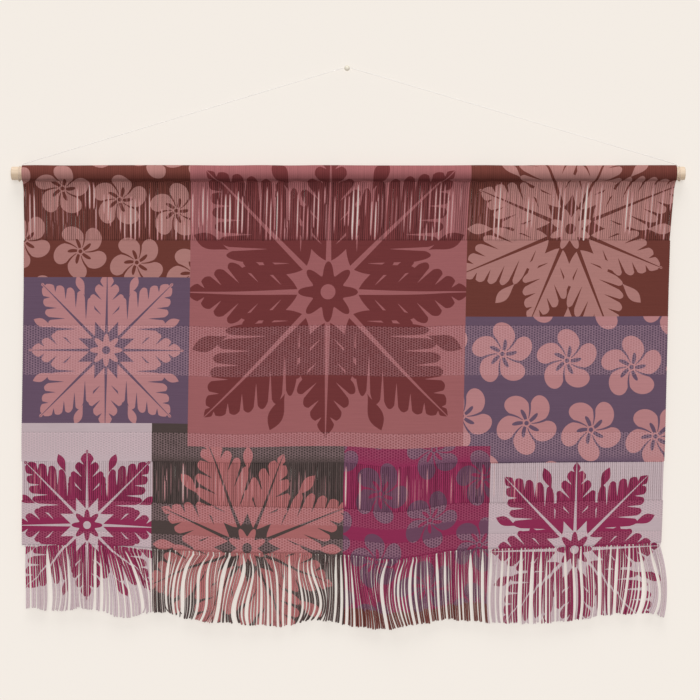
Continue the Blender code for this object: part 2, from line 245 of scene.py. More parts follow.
def cord_end(side, edge):
    """The turns round the rod and the bend that follows: a helix on the rod's axis whose radius
    is the rod's, the gap's and the cord's together, then a cubic curve up to the corner."""
    radius = ROD_RADIUS + REST_GAP + CORD_RADIUS
    axis = np.array([edge + side * CORD_EDGE_GAP, ROD_DEPTH, ROD_HEIGHT])
    left = np.linspace(CORD_TURNS, 0.0, int(CORD_TURNS * TURN_POINTS) + 1)
    turn = FULL_TURN * left + CORD_LEAVES
    helix = axis + np.stack([side * TURN_PITCH * left, -radius * np.sin(turn),
                             radius * np.cos(turn)], axis=-1)
    leaving = helix[-1] + np.array([0.0, math.cos(CORD_LEAVES), math.sin(CORD_LEAVES)]) * CORD_BEND
    corner = np.array([edge - side * CORD_INSIDE, ROD_DEPTH, ROD_HEIGHT + CORD_CLEARS])
    arriving = corner + np.array([side, 0.0, -CORD_SLOPE]) * CORD_BEND
    return np.concatenate([helix, bezier(helix[-1], leaving, arriving, corner, BEND_POINTS)])


def cord_route():
    """The cord's middle line from its left end, over the pin's neck, to its right end."""
    over = PIN_NECK_RADIUS + REST_GAP + CORD_RADIUS
    turn = np.linspace(-1.0, 1.0, CROWN_POINTS) * math.atan(CORD_SLOPE)
    crown = np.stack([over * np.sin(turn), np.full(CROWN_POINTS, -PIN_NECK_MIDDLE),
                      over * np.cos(turn)], axis=-1)
    left = cord_end(-1, CLOTH_LEFT)
    right = cord_end(1, CLOTH_RIGHT)
    return np.concatenate([left, crown, right[::-1]])


def evenly(line, step):
    """The line again with its points about a step apart."""
    run = along(line)
    places = np.linspace(0.0, run[-1], int(run[-1] / step) + 1)
    return np.stack([np.interp(places, run, line[:, k]) for k in range(3)], axis=-1)


cord_line = evenly(cord_route(), CORD_STEP)

# %% [markdown]
# A twisted ring needs a direction that turns smoothly. Round the rod that is the direction
# away from the rod's axis; on the bend and the straight runs it is the last one of those.

# %% The twisted cord
CORD_SIDES = 9
PLIES = 3
PLY_TWIST = 4.2 * MM
PLY_GROOVE = 0.26


def cord_reference(line):
    """A direction across the cord at each point, which never runs along it."""
    constant = np.array([0.0, -math.sin(CORD_LEAVES), math.cos(CORD_LEAVES)])
    away = line - np.array([0.0, ROD_DEPTH, ROD_HEIGHT])
    away[:, 0] = 0.0
    wound = (line[:, 0] < CLOTH_LEFT - 0.9 * CORD_EDGE_GAP)
    wound |= (line[:, 0] > CLOTH_RIGHT + 0.9 * CORD_EDGE_GAP)
    return np.where(wound[:, None], unit(away), constant)


def make_cord():
    """The cord as one tube of three lobes that turn once in each twist's length."""
    turn = along(cord_line) * FULL_TURN / PLY_TWIST
    return make_tubes("cord", cord_line[None], CORD_RADIUS, CORD_RADIUS, CORD_SIDES,
                      reference=cord_reference(cord_line)[None], turn=turn[None],
                      lobes=PLIES, lobe_depth=PLY_GROOVE)


cord = make_cord()
tell(cord)

# %% [markdown]
# Each end of the cord is stopped with a small overhand knot against the rod. A trefoil curve is
# an overhand knot with its ends joined, so a short fat tube along one makes a true knot. The
# reference of its ring is tilted a little, so that it never runs along the curve.

# %% Knots at the cord's ends
KNOT_REACH = 1.15 * MM
KNOT_POINTS = 48
KNOT_SIDES = 8
KNOT_FORWARD = 1.2
KNOT_REFERENCE = (0.03, 1.0, 0.02)


def knot(end, before):
    """A knot just past the cord's end, a little off the rod: across it is sin t + 2 sin 2t,
    up it is cos t - 2 cos 2t, and its depth is -sin 3t, brought forward."""
    outward = unit(end - np.array([end[0], ROD_DEPTH, ROD_HEIGHT]))
    middle = end + unit(end - before) * CORD_RADIUS + outward * CORD_RADIUS
    t = np.linspace(0.0, FULL_TURN, KNOT_POINTS + 1)
    shape = np.stack([np.sin(t) + 2 * np.sin(2 * t), -np.sin(3 * t) - KNOT_FORWARD,
                      np.cos(t) - 2 * np.cos(2 * t)], axis=-1)
    return middle + shape * KNOT_REACH / 2


knot_lines = np.stack([knot(cord_line[0], cord_line[1]), knot(cord_line[-1], cord_line[-2])])
cord_knots = make_tubes("cord_knots", knot_lines, CORD_RADIUS, CORD_RADIUS, KNOT_SIDES,
                        reference=KNOT_REFERENCE)
tell(cord_knots)

# %% [markdown]
# The cloth hangs plumb under the rod with soft upright folds, and its weave has slipped down
# unevenly, so seams that were straight on the loom sag. Two closed stretches, the main panel and
# the hem panel, are joined by loose warp, as the main panel is to the pocket. These tables are
# the same as those that the frame's cloth was shaped by; a smooth curve is drawn through each.

# %% How the cloth hangs
POCKET_RADIUS = 13.0 * MM
POCKET_SIDES = 16
CLOTH_THICK = 1.5 * MM
POCKET_DROP = POCKET_RADIUS * math.cos(math.pi / POCKET_SIDES) - ROD_RADIUS - REST_GAP
POCKET_SEAM = ROD_HEIGHT - POCKET_DROP - POCKET_RADIUS - CLOTH_THICK
MAIN_TOP_MM = -308.0
MAIN_FOOT_MM = -701.5
HEM_TOP_MM = -770.9
HEM_MM = -851.0
MAIN_TOP = MAIN_TOP_MM * MM
MAIN_FOOT = MAIN_FOOT_MM * MM
HEM_TOP = HEM_TOP_MM * MM
HEM = HEM_MM * MM
LOOM_WIDTH = CLOTH_RIGHT - CLOTH_LEFT
FOLDS_GROW = 1.3

SIDES = (
    # height_mm, left_mm, right_mm
    (-170.0, -578.8, 586.8),
    (-200.0, -578.4, 586.2),
    (-217.0, -576.4, 582.7),
    (-306.0, -574.9, 574.7),
    (-395.0, -575.2, 572.0),
    (-662.0, -579.0, 565.8),
    (-851.0, -578.3, 558.9),
)

SAG = (
    # x_mm, seams_mm, warp_top_mm, warp_foot_mm, hem_mm
    (-579, 0.0, 0.0, 0.0, 0.0),
    (-440, 0.0, 0.0, 0.0, 0.0),
    (-307, 0.9, 0.5, 6.2, 8.9),
    (-191, 4.1, 2.5, 11.0, 13.4),
    (-84, 0.5, 2.5, 13.2, 15.1),
    (-4, 0.4, 2.7, 15.0, 17.1),
    (85, 3.2, 10.0, 21.0, 24.2),
    (129, 3.4, 7.0, 16.6, 19.6),
    (183, 0.9, 3.0, 7.1, 10.7),
    (272, 0.7, 1.8, 4.5, 5.9),
    (357, 0.5, 0.5, 2.7, 3.6),
    (450, 0.0, 0.0, 0.9, 0.9),
    (587, -0.5, -0.9, -0.5, -5.9),
)
SAG_LEVELS = (
    # height_mm, column of the table above that tells the slip there
    (-203.0, None), (MAIN_TOP_MM, None), (-459.3, 1), (-649.8, 1),
    (MAIN_FOOT_MM, 2), (HEM_TOP_MM, 3), (-826.1, 3), (HEM_MM, 4),
)

FOLDS = (
    # x_mm, half_width_mm, forward_mm
    (-470, 90, -2.5),
    (-330, 80, 2.5),
    (-205, 60, -3.5),
    (-70, 90, 3.0),
    (95, 48, -6.0),
    (190, 55, 4.0),
    (330, 90, -2.5),
    (470, 80, 3.0),
)


def column(table, index):
    """One column of a table whose rows are tuples."""
    return np.array([row[index] for row in table], dtype=float)


def smooth_table(x_mm, table, index):
    """A smooth curve through a table's rows: cubic pieces whose slopes are the table's own."""
    xs = column(table, 0)
    ys = column(table, index)
    slopes = np.gradient(ys, xs)
    x = np.clip(x_mm, xs[0], xs[-1])
    cell = np.clip(np.searchsorted(xs, x) - 1, 0, len(xs) - 2)
    width = xs[cell + 1] - xs[cell]
    t = (x - xs[cell]) / width
    start = (1 + 2 * t) * (1 - t) ** 2 * ys[cell] + t * (1 - t) ** 2 * width * slopes[cell]
    end = t * t * (3 - 2 * t) * ys[cell + 1] + t * t * (t - 1) * width * slopes[cell + 1]
    return start + end


def side_edge(z, index):
    """The left or right edge of the cloth at height z."""
    rising = SIDES[::-1]
    return np.interp(z / MM, column(rising, 0), column(rising, index)) * MM


def sag(x, z):
    """How far the cloth at x has slipped below its straight height z: between two heights of
    the table the slip goes evenly from one column's curve to the next one's."""
    rising = column(SAG_LEVELS[::-1], 0)
    levels = [np.zeros_like(x) if index is None else smooth_table(x / MM, SAG, index)
              for _, index in SAG_LEVELS[::-1]]
    place = np.clip(z / MM, rising[0], rising[-1])
    upper = np.clip(np.searchsorted(rising, place), 1, len(rising) - 1)
    share = (place - rising[upper - 1]) / (rising[upper] - rising[upper - 1])
    below = np.choose(upper - 1, levels)
    above = np.choose(upper, levels)
    return (below + (above - below) * share) * MM


def fold_depth(x, z):
    """Depth of the sheet's middle: plumb at the rod, with bell-shaped folds that grow as the
    distance below the pocket to the power FOLDS_GROW."""
    grown = np.clip((POCKET_SEAM - z) / (POCKET_SEAM - HEM), 0.0, None) ** FOLDS_GROW
    waves = sum(forward * np.exp(-((x / MM - middle) / half_width) ** 2)
                for middle, half_width, forward in FOLDS)
    return ROD_DEPTH + waves * grown * MM


def hang(share, z):
    """Where a point of the loomed cloth hangs, from its share of the width and its height."""
    share, z = np.broadcast_arrays(share, z)
    x = side_edge(z, 1) + (side_edge(z, 2) - side_edge(z, 1)) * share
    return np.stack([x, fold_depth(x, z), z - sag(x, z)], axis=-1)


print("pocket seam at", round(POCKET_SEAM / MM, 2), "mm, hem at", HEM_MM)

# %% [markdown]
# The print is a patchwork of quilt blocks. Some hold a folded-paper rosette, as on the appliqued
# quilts of the islands, and some a field of blossoms. Each row below is a rectangle of the
# cloth in millimetres, measured from its left edge and down from the pocket's seam; a later row
# covers an earlier one. Colours are as they look, in six hex digits.

# %% Blocks of the print
ROSETTE, BLOSSOMS, PLAIN = 0, 1, 2
PRINT_COLOURS = {
    "brown": "6a3932", "dusty": "a97873", "maroon": "6e3536", "rose": "9b5f61",
    "slate": "644f62", "salmon": "b37e80", "lilac": "bca9ae", "magenta": "8a2d50",
    "charcoal": "4c403e", "coral": "a56565", "plum": "69455a",
}
BLOCKS = (
    # left, right, top, bottom, middle across, middle down, reach, turned (degrees), motif,
    # lobes, axis leaf, diagonal leaf, ground, figure
    (-20, 1190, -90, 810, 0, 0, 100, 0, PLAIN, 1, 0, 0, "brown", "brown"),
    (-20, 300, -90, 170, 70, 12, 104, 11, BLOSSOMS, 1, 0, 0, "brown", "dusty"),
    (-20, 300, 170, 430, 150, 300, 146, 0, ROSETTE, 5.5, 0.24, 0.31, "slate", "salmon"),
    (235, 585, 430, 810, 410, 640, 176, 22.5, ROSETTE, 6.0, 0.24, 0.31, "charcoal", "coral"),
    (300, 800, -90, 470, 550, 196, 270, 0, ROSETTE, 7.5, 0.23, 0.32, "rose", "maroon"),
    (800, 1190, -90, 240, 985, 84, 190, 22.5, ROSETTE, 6.5, 0.24, 0.29, "brown", "dusty"),
    (800, 1190, 240, 500, 868, 306, 118, 6, BLOSSOMS, 1, 0, 0, "slate", "salmon"),
    (-20, 235, 430, 810, 118, 612, 140, 0, ROSETTE, 5.5, 0.25, 0.30, "lilac", "magenta"),
    (585, 850, 470, 745, 652, 540, 104, 29, BLOSSOMS, 1, 0, 0, "magenta", "plum"),
    (850, 1190, 500, 810, 1008, 654, 160, 0, ROSETTE, 6.0, 0.25, 0.31, "lilac", "magenta"),
)


def linear(text):
    """Linear light, red, green, blue and one, of a display colour in six hex digits."""
    shown = np.array([int(text[i:i + 2], 16) for i in (0, 2, 4)]) / 255
    light = np.where(shown <= 0.04045, shown / 12.92, ((shown + 0.055) / 1.055) ** 2.4)
    return np.append(light, 1.0)


def block_edges(first, second):
    """The inner edges of the blocks in one direction, in metres."""
    edges = {row[first] for row in BLOCKS} | {row[second] for row in BLOCKS}
    return np.array(sorted(edges)) * MM


def snapped(lines, edges):
    """Grid lines, with the one nearest to each block edge moved onto it."""
    lines = np.array(lines, dtype=float)
    for edge in edges:
        if lines[0] < edge < lines[-1]:
            lines[1 + np.abs(lines[1:-1] - edge).argmin()] = edge
    return lines


def print_on(data, u, v, owner=None):
    """Give each face corner what the print's shader reads: its place in the motif of the block
    that holds the face, that motif's numbers, and the two colours. u and v are each vertex's
    place on the flat cloth, and owner the place across of the thread that it belongs to."""
    vertex, face = corner_layout(data)
    totals = np.bincount(face)
    face_u = np.bincount(face, (u if owner is None else owner)[vertex]) / totals
    face_v = np.bincount(face, v[vertex]) / totals
    which = np.zeros(len(totals), dtype=int)
    for number, row in enumerate(BLOCKS):
        left, right, top, bottom = np.array(row[:4]) * MM
        inside = (face_u >= left) & (face_u < right) & (face_v >= top) & (face_v < bottom)
        which[inside] = number
    row = which[face]
    numbers = np.array([block[4:12] for block in BLOCKS], dtype=float)[row]
    x = (u[vertex] - numbers[:, 0] * MM) / (numbers[:, 2] * MM)
    y = (v[vertex] - numbers[:, 1] * MM) / (numbers[:, 2] * MM)
    angle = np.radians(numbers[:, 3])
    p = x * np.cos(angle) + y * np.sin(angle)
    q = y * np.cos(angle) - x * np.sin(angle)
    ground = np.array([linear(PRINT_COLOURS[block[12]]) for block in BLOCKS])
    figure = np.array([linear(PRINT_COLOURS[block[13]]) for block in BLOCKS])
    set_values(data, "motif_place", "FLOAT_VECTOR", "CORNER", np.stack([p, q, numbers[:, 4]], -1))
    set_values(data, "motif_cut", "FLOAT_VECTOR", "CORNER", numbers[:, 5:8])
    set_values(data, "ground", "FLOAT_COLOR", "CORNER", ground[row])
    set_values(data, "figure", "FLOAT_COLOR", "CORNER", figure[row])
    set_uv(data, "flat", np.stack([u[vertex], v[vertex]], axis=-1))


print("print blocks:", len(BLOCKS))

# %% [markdown]
# A woven panel is a closed thin sheet: a front surface, a back surface, and four narrow strips
# that join them. Its two surfaces are the hanging cloth's middle moved out by half the cloth's
# thickness, and that thickness carries the weave's relief. Basket bands are a little thinner
# than plain ones, so the lower edge of a plain band stands proud and casts a thin shadow line.

# %% A closed sheet
SHARP_ANGLE = math.radians(50)


def make_sheet(name, front, back, u, v):
    """A closed sheet of two grids of points, which carries the print. Rows go down the cloth
    and columns across it."""
    rows, columns = front.shape[:2]
    f = np.arange(rows * columns).reshape(rows, columns)
    b = f + rows * columns
    faces = [
        np.stack([f[:-1, :-1], f[1:, :-1], f[1:, 1:], f[:-1, 1:]], -1),
        np.stack([b[:-1, :-1], b[:-1, 1:], b[1:, 1:], b[1:, :-1]], -1),
        np.stack([f[0, :-1], f[0, 1:], b[0, 1:], b[0, :-1]], -1),
        np.stack([f[-1, :-1], b[-1, :-1], b[-1, 1:], f[-1, 1:]], -1),
        np.stack([f[:-1, 0], b[:-1, 0], b[1:, 0], f[1:, 0]], -1),
        np.stack([f[:-1, -1], f[1:, -1], b[1:, -1], b[:-1, -1]], -1),
    ]
    made = new_object(name, np.concatenate([front.reshape(-1, 3), back.reshape(-1, 3)]),
                      [group.reshape(-1, 4) for group in faces])
    made.data.set_sharp_from_angle(angle=SHARP_ANGLE)
    both = [np.broadcast_to(part, (rows, columns)).ravel() for part in (u, v)]
    print_on(made.data, np.tile(both[0], 2), np.tile(both[1], 2))
    set_points(made.data, reverse=np.repeat([0.0, 1.0], rows * columns))
    return made


# %% [markdown]
# The cloth changes its weave from band to band: fine plain bands, and basket bands where
# thicker yarns go over and under in pairs and leave rows of small dark hollows. One grid makes
# each stretch between the open bands. It has a column for each rib of the basket, rows close
# together at every change of weave, and the slow unevenness of hand-finished cloth.

# %% Bands of the weave
PLAIN_HALF = 0.95 * MM
BASKET_HALF = 0.70 * MM
COLUMN_PITCH = 4.86 * MM
COLUMN_SAMPLES = 4
COLUMN_RELIEF = 0.24 * MM
PUCKER = 0.22 * MM
SEAM_ROUND = 0.9 * MM
SEAM_CLEARS = 3.4 * MM
SEAM_ROWS_MM = (2.0, 0.9, 0.35, -0.35, -0.9, -2.6)
EDGE_ROW = 0.4 * MM
BASKET_BANDS = (
    # top_mm, foot_mm
    (-459.3, -548.4), (-649.8, MAIN_FOOT_MM), (HEM_TOP_MM, -803.0), (-826.1, HEM_MM),
)


def ramp(value, start, end):
    """0 before start and 1 after end, turning smoothly between."""
    t = np.clip((value - start) / (end - start), 0.0, 1.0)
    return t * t * (3 - 2 * t)


def basket_share(z):
    """1 inside the basket bands and 0 in the plain ones: sharp at a band's top, where the plain
    band above overhangs it, and soft at its foot."""
    share = np.zeros_like(z)
    for top, foot in BASKET_BANDS:
        inside = ramp(-z, -top * MM - SEAM_ROUND / 2, -top * MM + SEAM_ROUND / 2)
        share = np.maximum(share, inside * (1 - ramp(-z, -foot * MM - 2 * SEAM_ROUND, -foot * MM)))
    return share


def puckers(x, z):
    """Small unevenness of hand-finished cloth: three slow waves, less than half a millimetre."""
    return PUCKER * (np.sin(x / (31 * MM) + 1.7 * np.sin(z / (70 * MM)))
                     + np.sin(x / (17 * MM) - z / (44 * MM)) * 0.6
                     + np.sin(x / (83 * MM) + z / (26 * MM)) * 0.8)


def band_rows(top, foot, coarse):
    """Heights of a panel's rows: even ones, and close ones round each seam inside it."""
    rows = list(np.linspace(top, foot, int(round((top - foot) / coarse)) + 1))
    rows += [top - EDGE_ROW, foot + EDGE_ROW]
    for edge in [value * MM for band in BASKET_BANDS for value in band]:
        if foot + MM < edge < top - MM:
            rows = [z for z in rows if abs(z - edge) > SEAM_CLEARS]
            rows += [edge + offset * MM for offset in SEAM_ROWS_MM]
    return np.array(sorted(rows, reverse=True))


def make_panel(name, top, foot, coarse):
    """One stretch of closed weave between two heights, its rows no further apart than coarse."""
    count = int(round(LOOM_WIDTH / COLUMN_PITCH)) * COLUMN_SAMPLES
    u = snapped(np.linspace(0.0, LOOM_WIDTH, count + 1), block_edges(0, 1))[None, :]
    z = band_rows(top, foot, coarse)
    z = POCKET_SEAM - snapped(POCKET_SEAM - z, block_edges(2, 3))[:, None]
    middle = hang(u / LOOM_WIDTH, z)
    basket = basket_share(z)
    half = PLAIN_HALF + (BASKET_HALF - PLAIN_HALF) * basket
    ribs = COLUMN_RELIEF * basket * np.cos(u / COLUMN_PITCH * FULL_TURN)
    wave = puckers(middle[..., 0], middle[..., 2])
    outward = np.array([0.0, -1.0, 0.0])
    front = middle + (half + ribs + wave)[..., None] * outward
    back = middle - (half + ribs - wave)[..., None] * outward
    made = make_sheet(name, front, back, u, POCKET_SEAM - z)
    weave = np.broadcast_to(basket, front.shape[:2]).ravel()
    set_points(made.data, weave=np.tile(weave, 2), pinched=0.0, warped=0.0)
    tell(made)
    return made


main_panel = make_panel("main_panel", MAIN_TOP, MAIN_FOOT, 14 * MM)
hem_panel = make_panel("hem_panel", HEM_TOP, HEM, 5 * MM)

# %% [markdown]
# The pocket is the same sheet turned round the rod, from its seam at the back, over the top
# and down to the seam in front. It was woven flat and pulled tight at the seam, so short
# slanting wrinkles run up from there and die out before the top.

# %% The rod's pocket
POCKET_COLUMNS = 480
POCKET_ROWS = 56
POCKET_HALF = 0.7 * MM
POCKET_PRESS = 0.2 * MM
WRINKLE = 0.75 * MM
# Painted shade on the pocket's lower part, in bands just above its seam.
POCKET_SHADE_BANDS = (
    # turn from the seam, width (both in radians), how dark the painted shade is
    (0.66, 0.22, 1.0),
    (1.20, 0.40, 0.28),
)


def pocket_wrinkles(u, turn):
    """Relief away from the rod: slanting waves that are strongest at the seam, in patches along
    the rod, and a slack top edge that stands off the rod in slow uneven waves."""
    near_seam = np.exp(-((np.minimum(turn, FULL_TURN - turn)) / 0.85) ** 2)
    patch = 0.55 + 0.45 * np.sin(u / (57 * MM) + 2.1 * np.sin(u / (133 * MM)))
    slant = u / (7.3 * MM) + 2.6 * turn + 1.8 * np.sin(u / (41 * MM))
    fine = 0.35 * np.sin(u / (3.9 * MM) - 1.9 * turn)
    wrinkles = near_seam * patch * (0.65 * np.sin(slant) + fine)
    slack = 0.6 + 0.4 * np.sin(u / (29 * MM) + 1.9 * np.sin(u / (71 * MM)))
    return WRINKLE * (wrinkles + slack * np.exp(-((turn - math.pi) / 0.8) ** 2))


def make_pocket():
    """The sheet round the rod: middle + (radius + relief) times the direction away from the
    rod's axis, the direction turning from the back of the seam to its front."""
    radius = POCKET_RADIUS + CLOTH_THICK / 2
    opening = math.asin(CLOTH_THICK / 2 / radius)
    turn = np.linspace(FULL_TURN - opening, opening, POCKET_ROWS + 1)[:, None]
    u = snapped(np.linspace(0.0, LOOM_WIDTH, POCKET_COLUMNS + 1), block_edges(0, 1))[None, :]
    turn, u = np.broadcast_arrays(turn, u)
    away = np.stack([np.zeros_like(u), -np.sin(turn), -np.cos(turn)], axis=-1)
    height = ROD_HEIGHT - POCKET_DROP + radius * away[..., 2]
    x = side_edge(height, 1) + (side_edge(height, 2) - side_edge(height, 1)) * u / LOOM_WIDTH
    middle = np.stack([x, np.full_like(x, ROD_DEPTH), np.full_like(x, ROD_HEIGHT - POCKET_DROP)],
                      axis=-1)
    relief = pocket_wrinkles(u, turn)
    outer = np.minimum(radius + POCKET_HALF + relief, radius + CLOTH_THICK)
    inner = np.maximum(outer - 2 * POCKET_HALF, POCKET_RADIUS - POCKET_PRESS)
    v = -(turn - opening) * radius
    made = make_sheet("rod_pocket", middle + outer[..., None] * away,
                      middle + inner[..., None] * away, u, v)
    from_seam = np.minimum(turn, FULL_TURN - turn)
    # The pocket's painted shade, darkest a little above the seam.
    pinched = sum(dark * np.exp(-((from_seam - place) / width) ** 2)
                  for place, width, dark in POCKET_SHADE_BANDS)
    set_points(made.data, weave=0.0, pinched=np.tile(pinched.ravel(), 2), warped=1.0)
    tell(made)
    return made


rod_pocket = make_pocket()

# %% [markdown]
# Where the weft was left out, each warp thread is its own tube. A slit opens where neighbours
# have been drawn apart, and closes towards its two ends like a lens. Threads can't pass through
# each other, so they are worked out together: a thread is pushed by all the slits on its left,
# less the mean of that push around it, and the order of the threads never changes.

# %% Threads that part


def bell_mean(values, reach):
    """The mean of each row's neighbourhood: a bell curve that is reach rows wide, with the
    first and last rows repeated beyond the ends."""
    wide = int(3 * reach)
    weights = np.exp(-(np.arange(-wide, wide + 1) / reach) ** 2)
    weights /= weights.sum()
    padded = np.pad(values, ((wide, wide), (0, 0)), mode="edge")
    return sum(weight * padded[start:start + len(values)]
               for start, weight in enumerate(weights))


def parted(gaps, reach):
    """Sideways shift of threads side by side. gaps holds the opening to the left of each
    thread, one column for each height; the shift is the sum of the openings so far, less that
    sum's bell mean."""
    push = np.cumsum(gaps, axis=0)
    return push - bell_mean(push, reach)


# %% [markdown]
# The named slits are those that stand out; the wider ones are also cut through the frame's
# solid. Between all other threads there may be a hairline, more in some stretches than others,
# and every second thread lies a little behind its neighbours. The thread beside an opening
# turns there, and the flank that it shows is undyed, and painted paler with light from the
# opening.

# %% Loose warp threads
WARP_THREADS = 315
WARP_PITCH = LOOM_WIDTH / WARP_THREADS
WARP_HALF_WIDTH = 0.5 * WARP_PITCH
WARP_HALF_DEPTH = 0.62 * MM
WARP_LAYER = 0.4 * MM
WARP_ROWS = 26
WARP_SIDES = 8
WARP_REACH = 3.2
WARP_SEED = 3
WARP_STRAYS = 0.10 * MM
WARP_NARROWS = 0.06
HAIRLINE = 0.45 * MM
HAIRLINE_SPREAD = (0.35, 0.5)
HAIRLINE_STARTS = (0.02, 0.4)
HAIRLINE_ENDS = (0.72, 1.0)
SEEN_SHARE = 0.12
SEEN_MORE = 0.155
LENS_POWER = 0.7
FIBRES_FILL = 0.26 * MM
BARE_OPENS = 0.6 * MM
TUCK = 1.2 * MM

UPPER_SLITS = (
    # x_mm, width_mm, start and end in tenths of the band
    (-565, 2.8, 2, 9.5), (-558, 3, 2.2, 9.5), (-479, 2.4, 1, 6), (-464, 2.4, 0.5, 4.5),
    (-458, 3.6, 0.3, 4.8), (-451, 3.2, 0.3, 4.8), (-446, 1.8, 2, 9), (-434, 2.6, 2, 5.5),
    (-427, 2.8, 2, 6.8), (-421, 2.6, 4, 7.5), (-402, 2.4, 5, 8.5), (-396, 2.4, 5, 10),
    (-385, 3.8, 2.5, 9.8), (-378, 3.6, 3, 10), (-371, 2.6, 3, 9.5), (-359, 1.8, 3, 8),
    (-352, 2.4, 2, 9.5), (-336, 2.4, 6, 10), (-329, 3, 4.5, 10), (-304, 2.8, 6, 10),
    (-288, 2.6, 6.5, 10), (-283, 2.2, 6.5, 10), (-274, 2.8, 2, 9), (-263, 1.8, 4, 8),
    (-258, 3.6, 1, 7.5), (-251, 3, 1.5, 7), (-230, 2.8, 3, 10), (-223, 2.2, 4, 9),
    (-215, 4.6, 2.2, 9.3), (-208, 4.2, 2.2, 9), (-193, 4.2, 1.8, 9.2), (-186, 3.4, 2.5, 8.8),
    (-153, 1.4, 1, 9), (-143, 2.6, 1, 10), (-136, 3, 3, 10), (-130, 2, 1, 10),
    (-124, 3.4, 1.5, 10), (-119, 1.6, 2, 10), (-110, 1.6, 6, 10), (-105, 1.6, 5, 10),
    (-101, 1.8, 1, 7), (-87, 2.6, 2, 9.8), (-77, 1.4, 3, 8), (-60, 2.4, 1.8, 8),
    (-53, 2.8, 1.5, 9.5), (-41, 1.8, 1, 4), (-35, 1.4, 2, 10), (-23, 1.8, 2.5, 8.5),
    (-4, 2.6, 2.5, 7.5), (3, 2.6, 2.5, 7.5), (12, 4.4, 1, 9.8), (19, 4.4, 0.5, 9.8),
    (34, 1.6, 1, 6), (44, 3, 3.2, 9.2), (51, 3.4, 3.2, 9.8), (56, 2.2, 2, 9), (61, 1.4, 2, 8),
    (86, 1.2, 2.5, 8), (114, 2, 1.5, 9), (132, 2.6, 1.5, 12), (139, 1.8, 7.5, 12.5),
    (143, 2.6, 7, 12.5), (148, 1.6, 0.5, 7), (152, 2.2, 7, 12), (157, 2.4, 1, 9),
    (164, 3, 0.2, 10.4), (172, 2, 0.5, 6), (179, 2.8, 1.5, 9.5), (185, 2.4, 1.5, 9.5),
    (189, 1.6, 2.5, 9), (202, 1.2, 1, 5), (249, 1.8, 2.5, 10), (264, 3.2, 0.5, 10),
    (270, 4, 0.2, 10), (278, 2.4, 1.5, 9), (285, 2, 1, 7), (308, 1.4, 5, 10),
    (323, 3.6, 2.6, 8.2), (328, 2.8, 2.8, 8), (366, 2.4, 1, 9), (378, 2.8, 0.3, 10),
    (386, 2.8, 1, 10), (401, 1.6, 1, 10), (407, 2.6, 1, 10), (416, 3.4, 0.2, 10),
    (424, 5.2, 0.2, 11), (432, 3.2, 1, 9.8), (442, 2.2, 1, 9.5), (449, 2.8, 0.3, 10),
    (497, 3.8, 1, 8.8), (504, 3.4, 1.8, 9), (534, 2.2, 3, 10), (542, 2.8, 0.3, 8.5),
    (553, 1.8, 3, 9), (560, 2.2, 1, 9), (568, 2.2, 7, 10), (576, 2, 0.5, 5),
)
LOWER_SLITS = (
    # the same columns
    (-428, 1.8, 1, 9), (-326, 1.6, 3, 9.5), (-291, 3, 0.5, 9.5), (-240, 1, 2, 9),
    (-188, 2.2, 1, 8), (-150, 1, 3, 9), (-120, 1.2, 1, 8), (-60, 1, 3, 10), (-4, 3.4, 1, 9.5),
    (24, 3.2, 2, 10), (60, 1, 2, 8), (92, 2.2, 0.5, 9), (106, 1.8, 2, 9), (142, 1.6, 1, 7),
    (187, 1.6, 3, 10), (220, 1, 1, 9), (261, 2.4, 0.5, 8.5), (297, 2, 2, 10), (340, 1.8, 1, 9),
    (380, 1, 3, 9), (420, 1.4, 1, 8), (470, 1, 2, 9),
)


def lens(down, start, end):
    """A slit's outline: (1 - span squared) to the power LENS_POWER, where span goes from -1 at
    its upper end to 1 at its lower one."""
    span = (down - (start + end) / 2) / ((end - start) / 2)
    return np.clip(1 - span ** 2, 0.0, 1.0) ** LENS_POWER


def slit_gaps(slits, down, places, random):
    """Openings to the left of each thread at each share of the way down: a hairline, or for a
    named slit its outline times a share of its width, which grows with the width because loose
    fibres fill a narrow slit. places holds where each thread hangs halfway down, in order, so
    a slit is given to the first thread on its right. A slit that is open at the foot runs on
    under the weave."""
    beside = np.arange(WARP_THREADS) * WARP_PITCH
    loose = 0.5 + 0.5 * np.sin(beside / (47 * MM) + 2.2 * np.sin(beside / (113 * MM)))
    thin = np.clip(random.normal(*HAIRLINE_SPREAD, WARP_THREADS), 0.0, None) * loose * HAIRLINE
    start = random.uniform(*HAIRLINE_STARTS, WARP_THREADS)[:, None]
    end = random.uniform(*HAIRLINE_ENDS, WARP_THREADS)[:, None]
    gaps = thin[:, None] * lens(down, start, end)
    for x_mm, width_mm, start, end in slits:
        thread = np.searchsorted(places, x_mm * MM)
        seen_mm = SEEN_SHARE * width_mm + SEEN_MORE * width_mm ** 2
        gaps[thread] = np.maximum(gaps[thread], seen_mm * MM * lens(down, start / 10, end / 10)[0])
    return gaps


def bare_and_lit_flanks(gaps, random):
    """How undyed the flank is that faces an opening, and how much painted light from the opening
    it shows: up to 1 with the opening's width, positive where the wider opening is on the
    thread's left and negative on its right."""
    left = np.clip(gaps / BARE_OPENS, 0.0, 1.0)
    right = np.concatenate([left[1:], 0 * left[:1]])
    return np.where(left >= right, left, -right) * random.uniform(0.5, 1.0, (len(gaps), 1))


def print_threads(data, u, v, half_width, sides, tone, bare):
    """Print threads that were made as tubes. u is each thread's place across the flat cloth and
    v its rings' places down it; a ring's points lie -cos(a) half widths beside its thread. The
    tone of each thread, and how undyed and painted pale with light from an opening each ring's
    flank is, go on its points."""
    shape = bare.shape + (sides,)
    beside = -np.cos(np.arange(sides) * FULL_TURN / sides) * half_width
    owner, v, tone, bare = (np.broadcast_to(part[..., None], shape) for part in (u, v, tone, bare))
    print_on(data, (owner + beside).ravel(), v.ravel(), owner.ravel())
    set_points(data, tone=tone.ravel(), bare=bare.ravel())


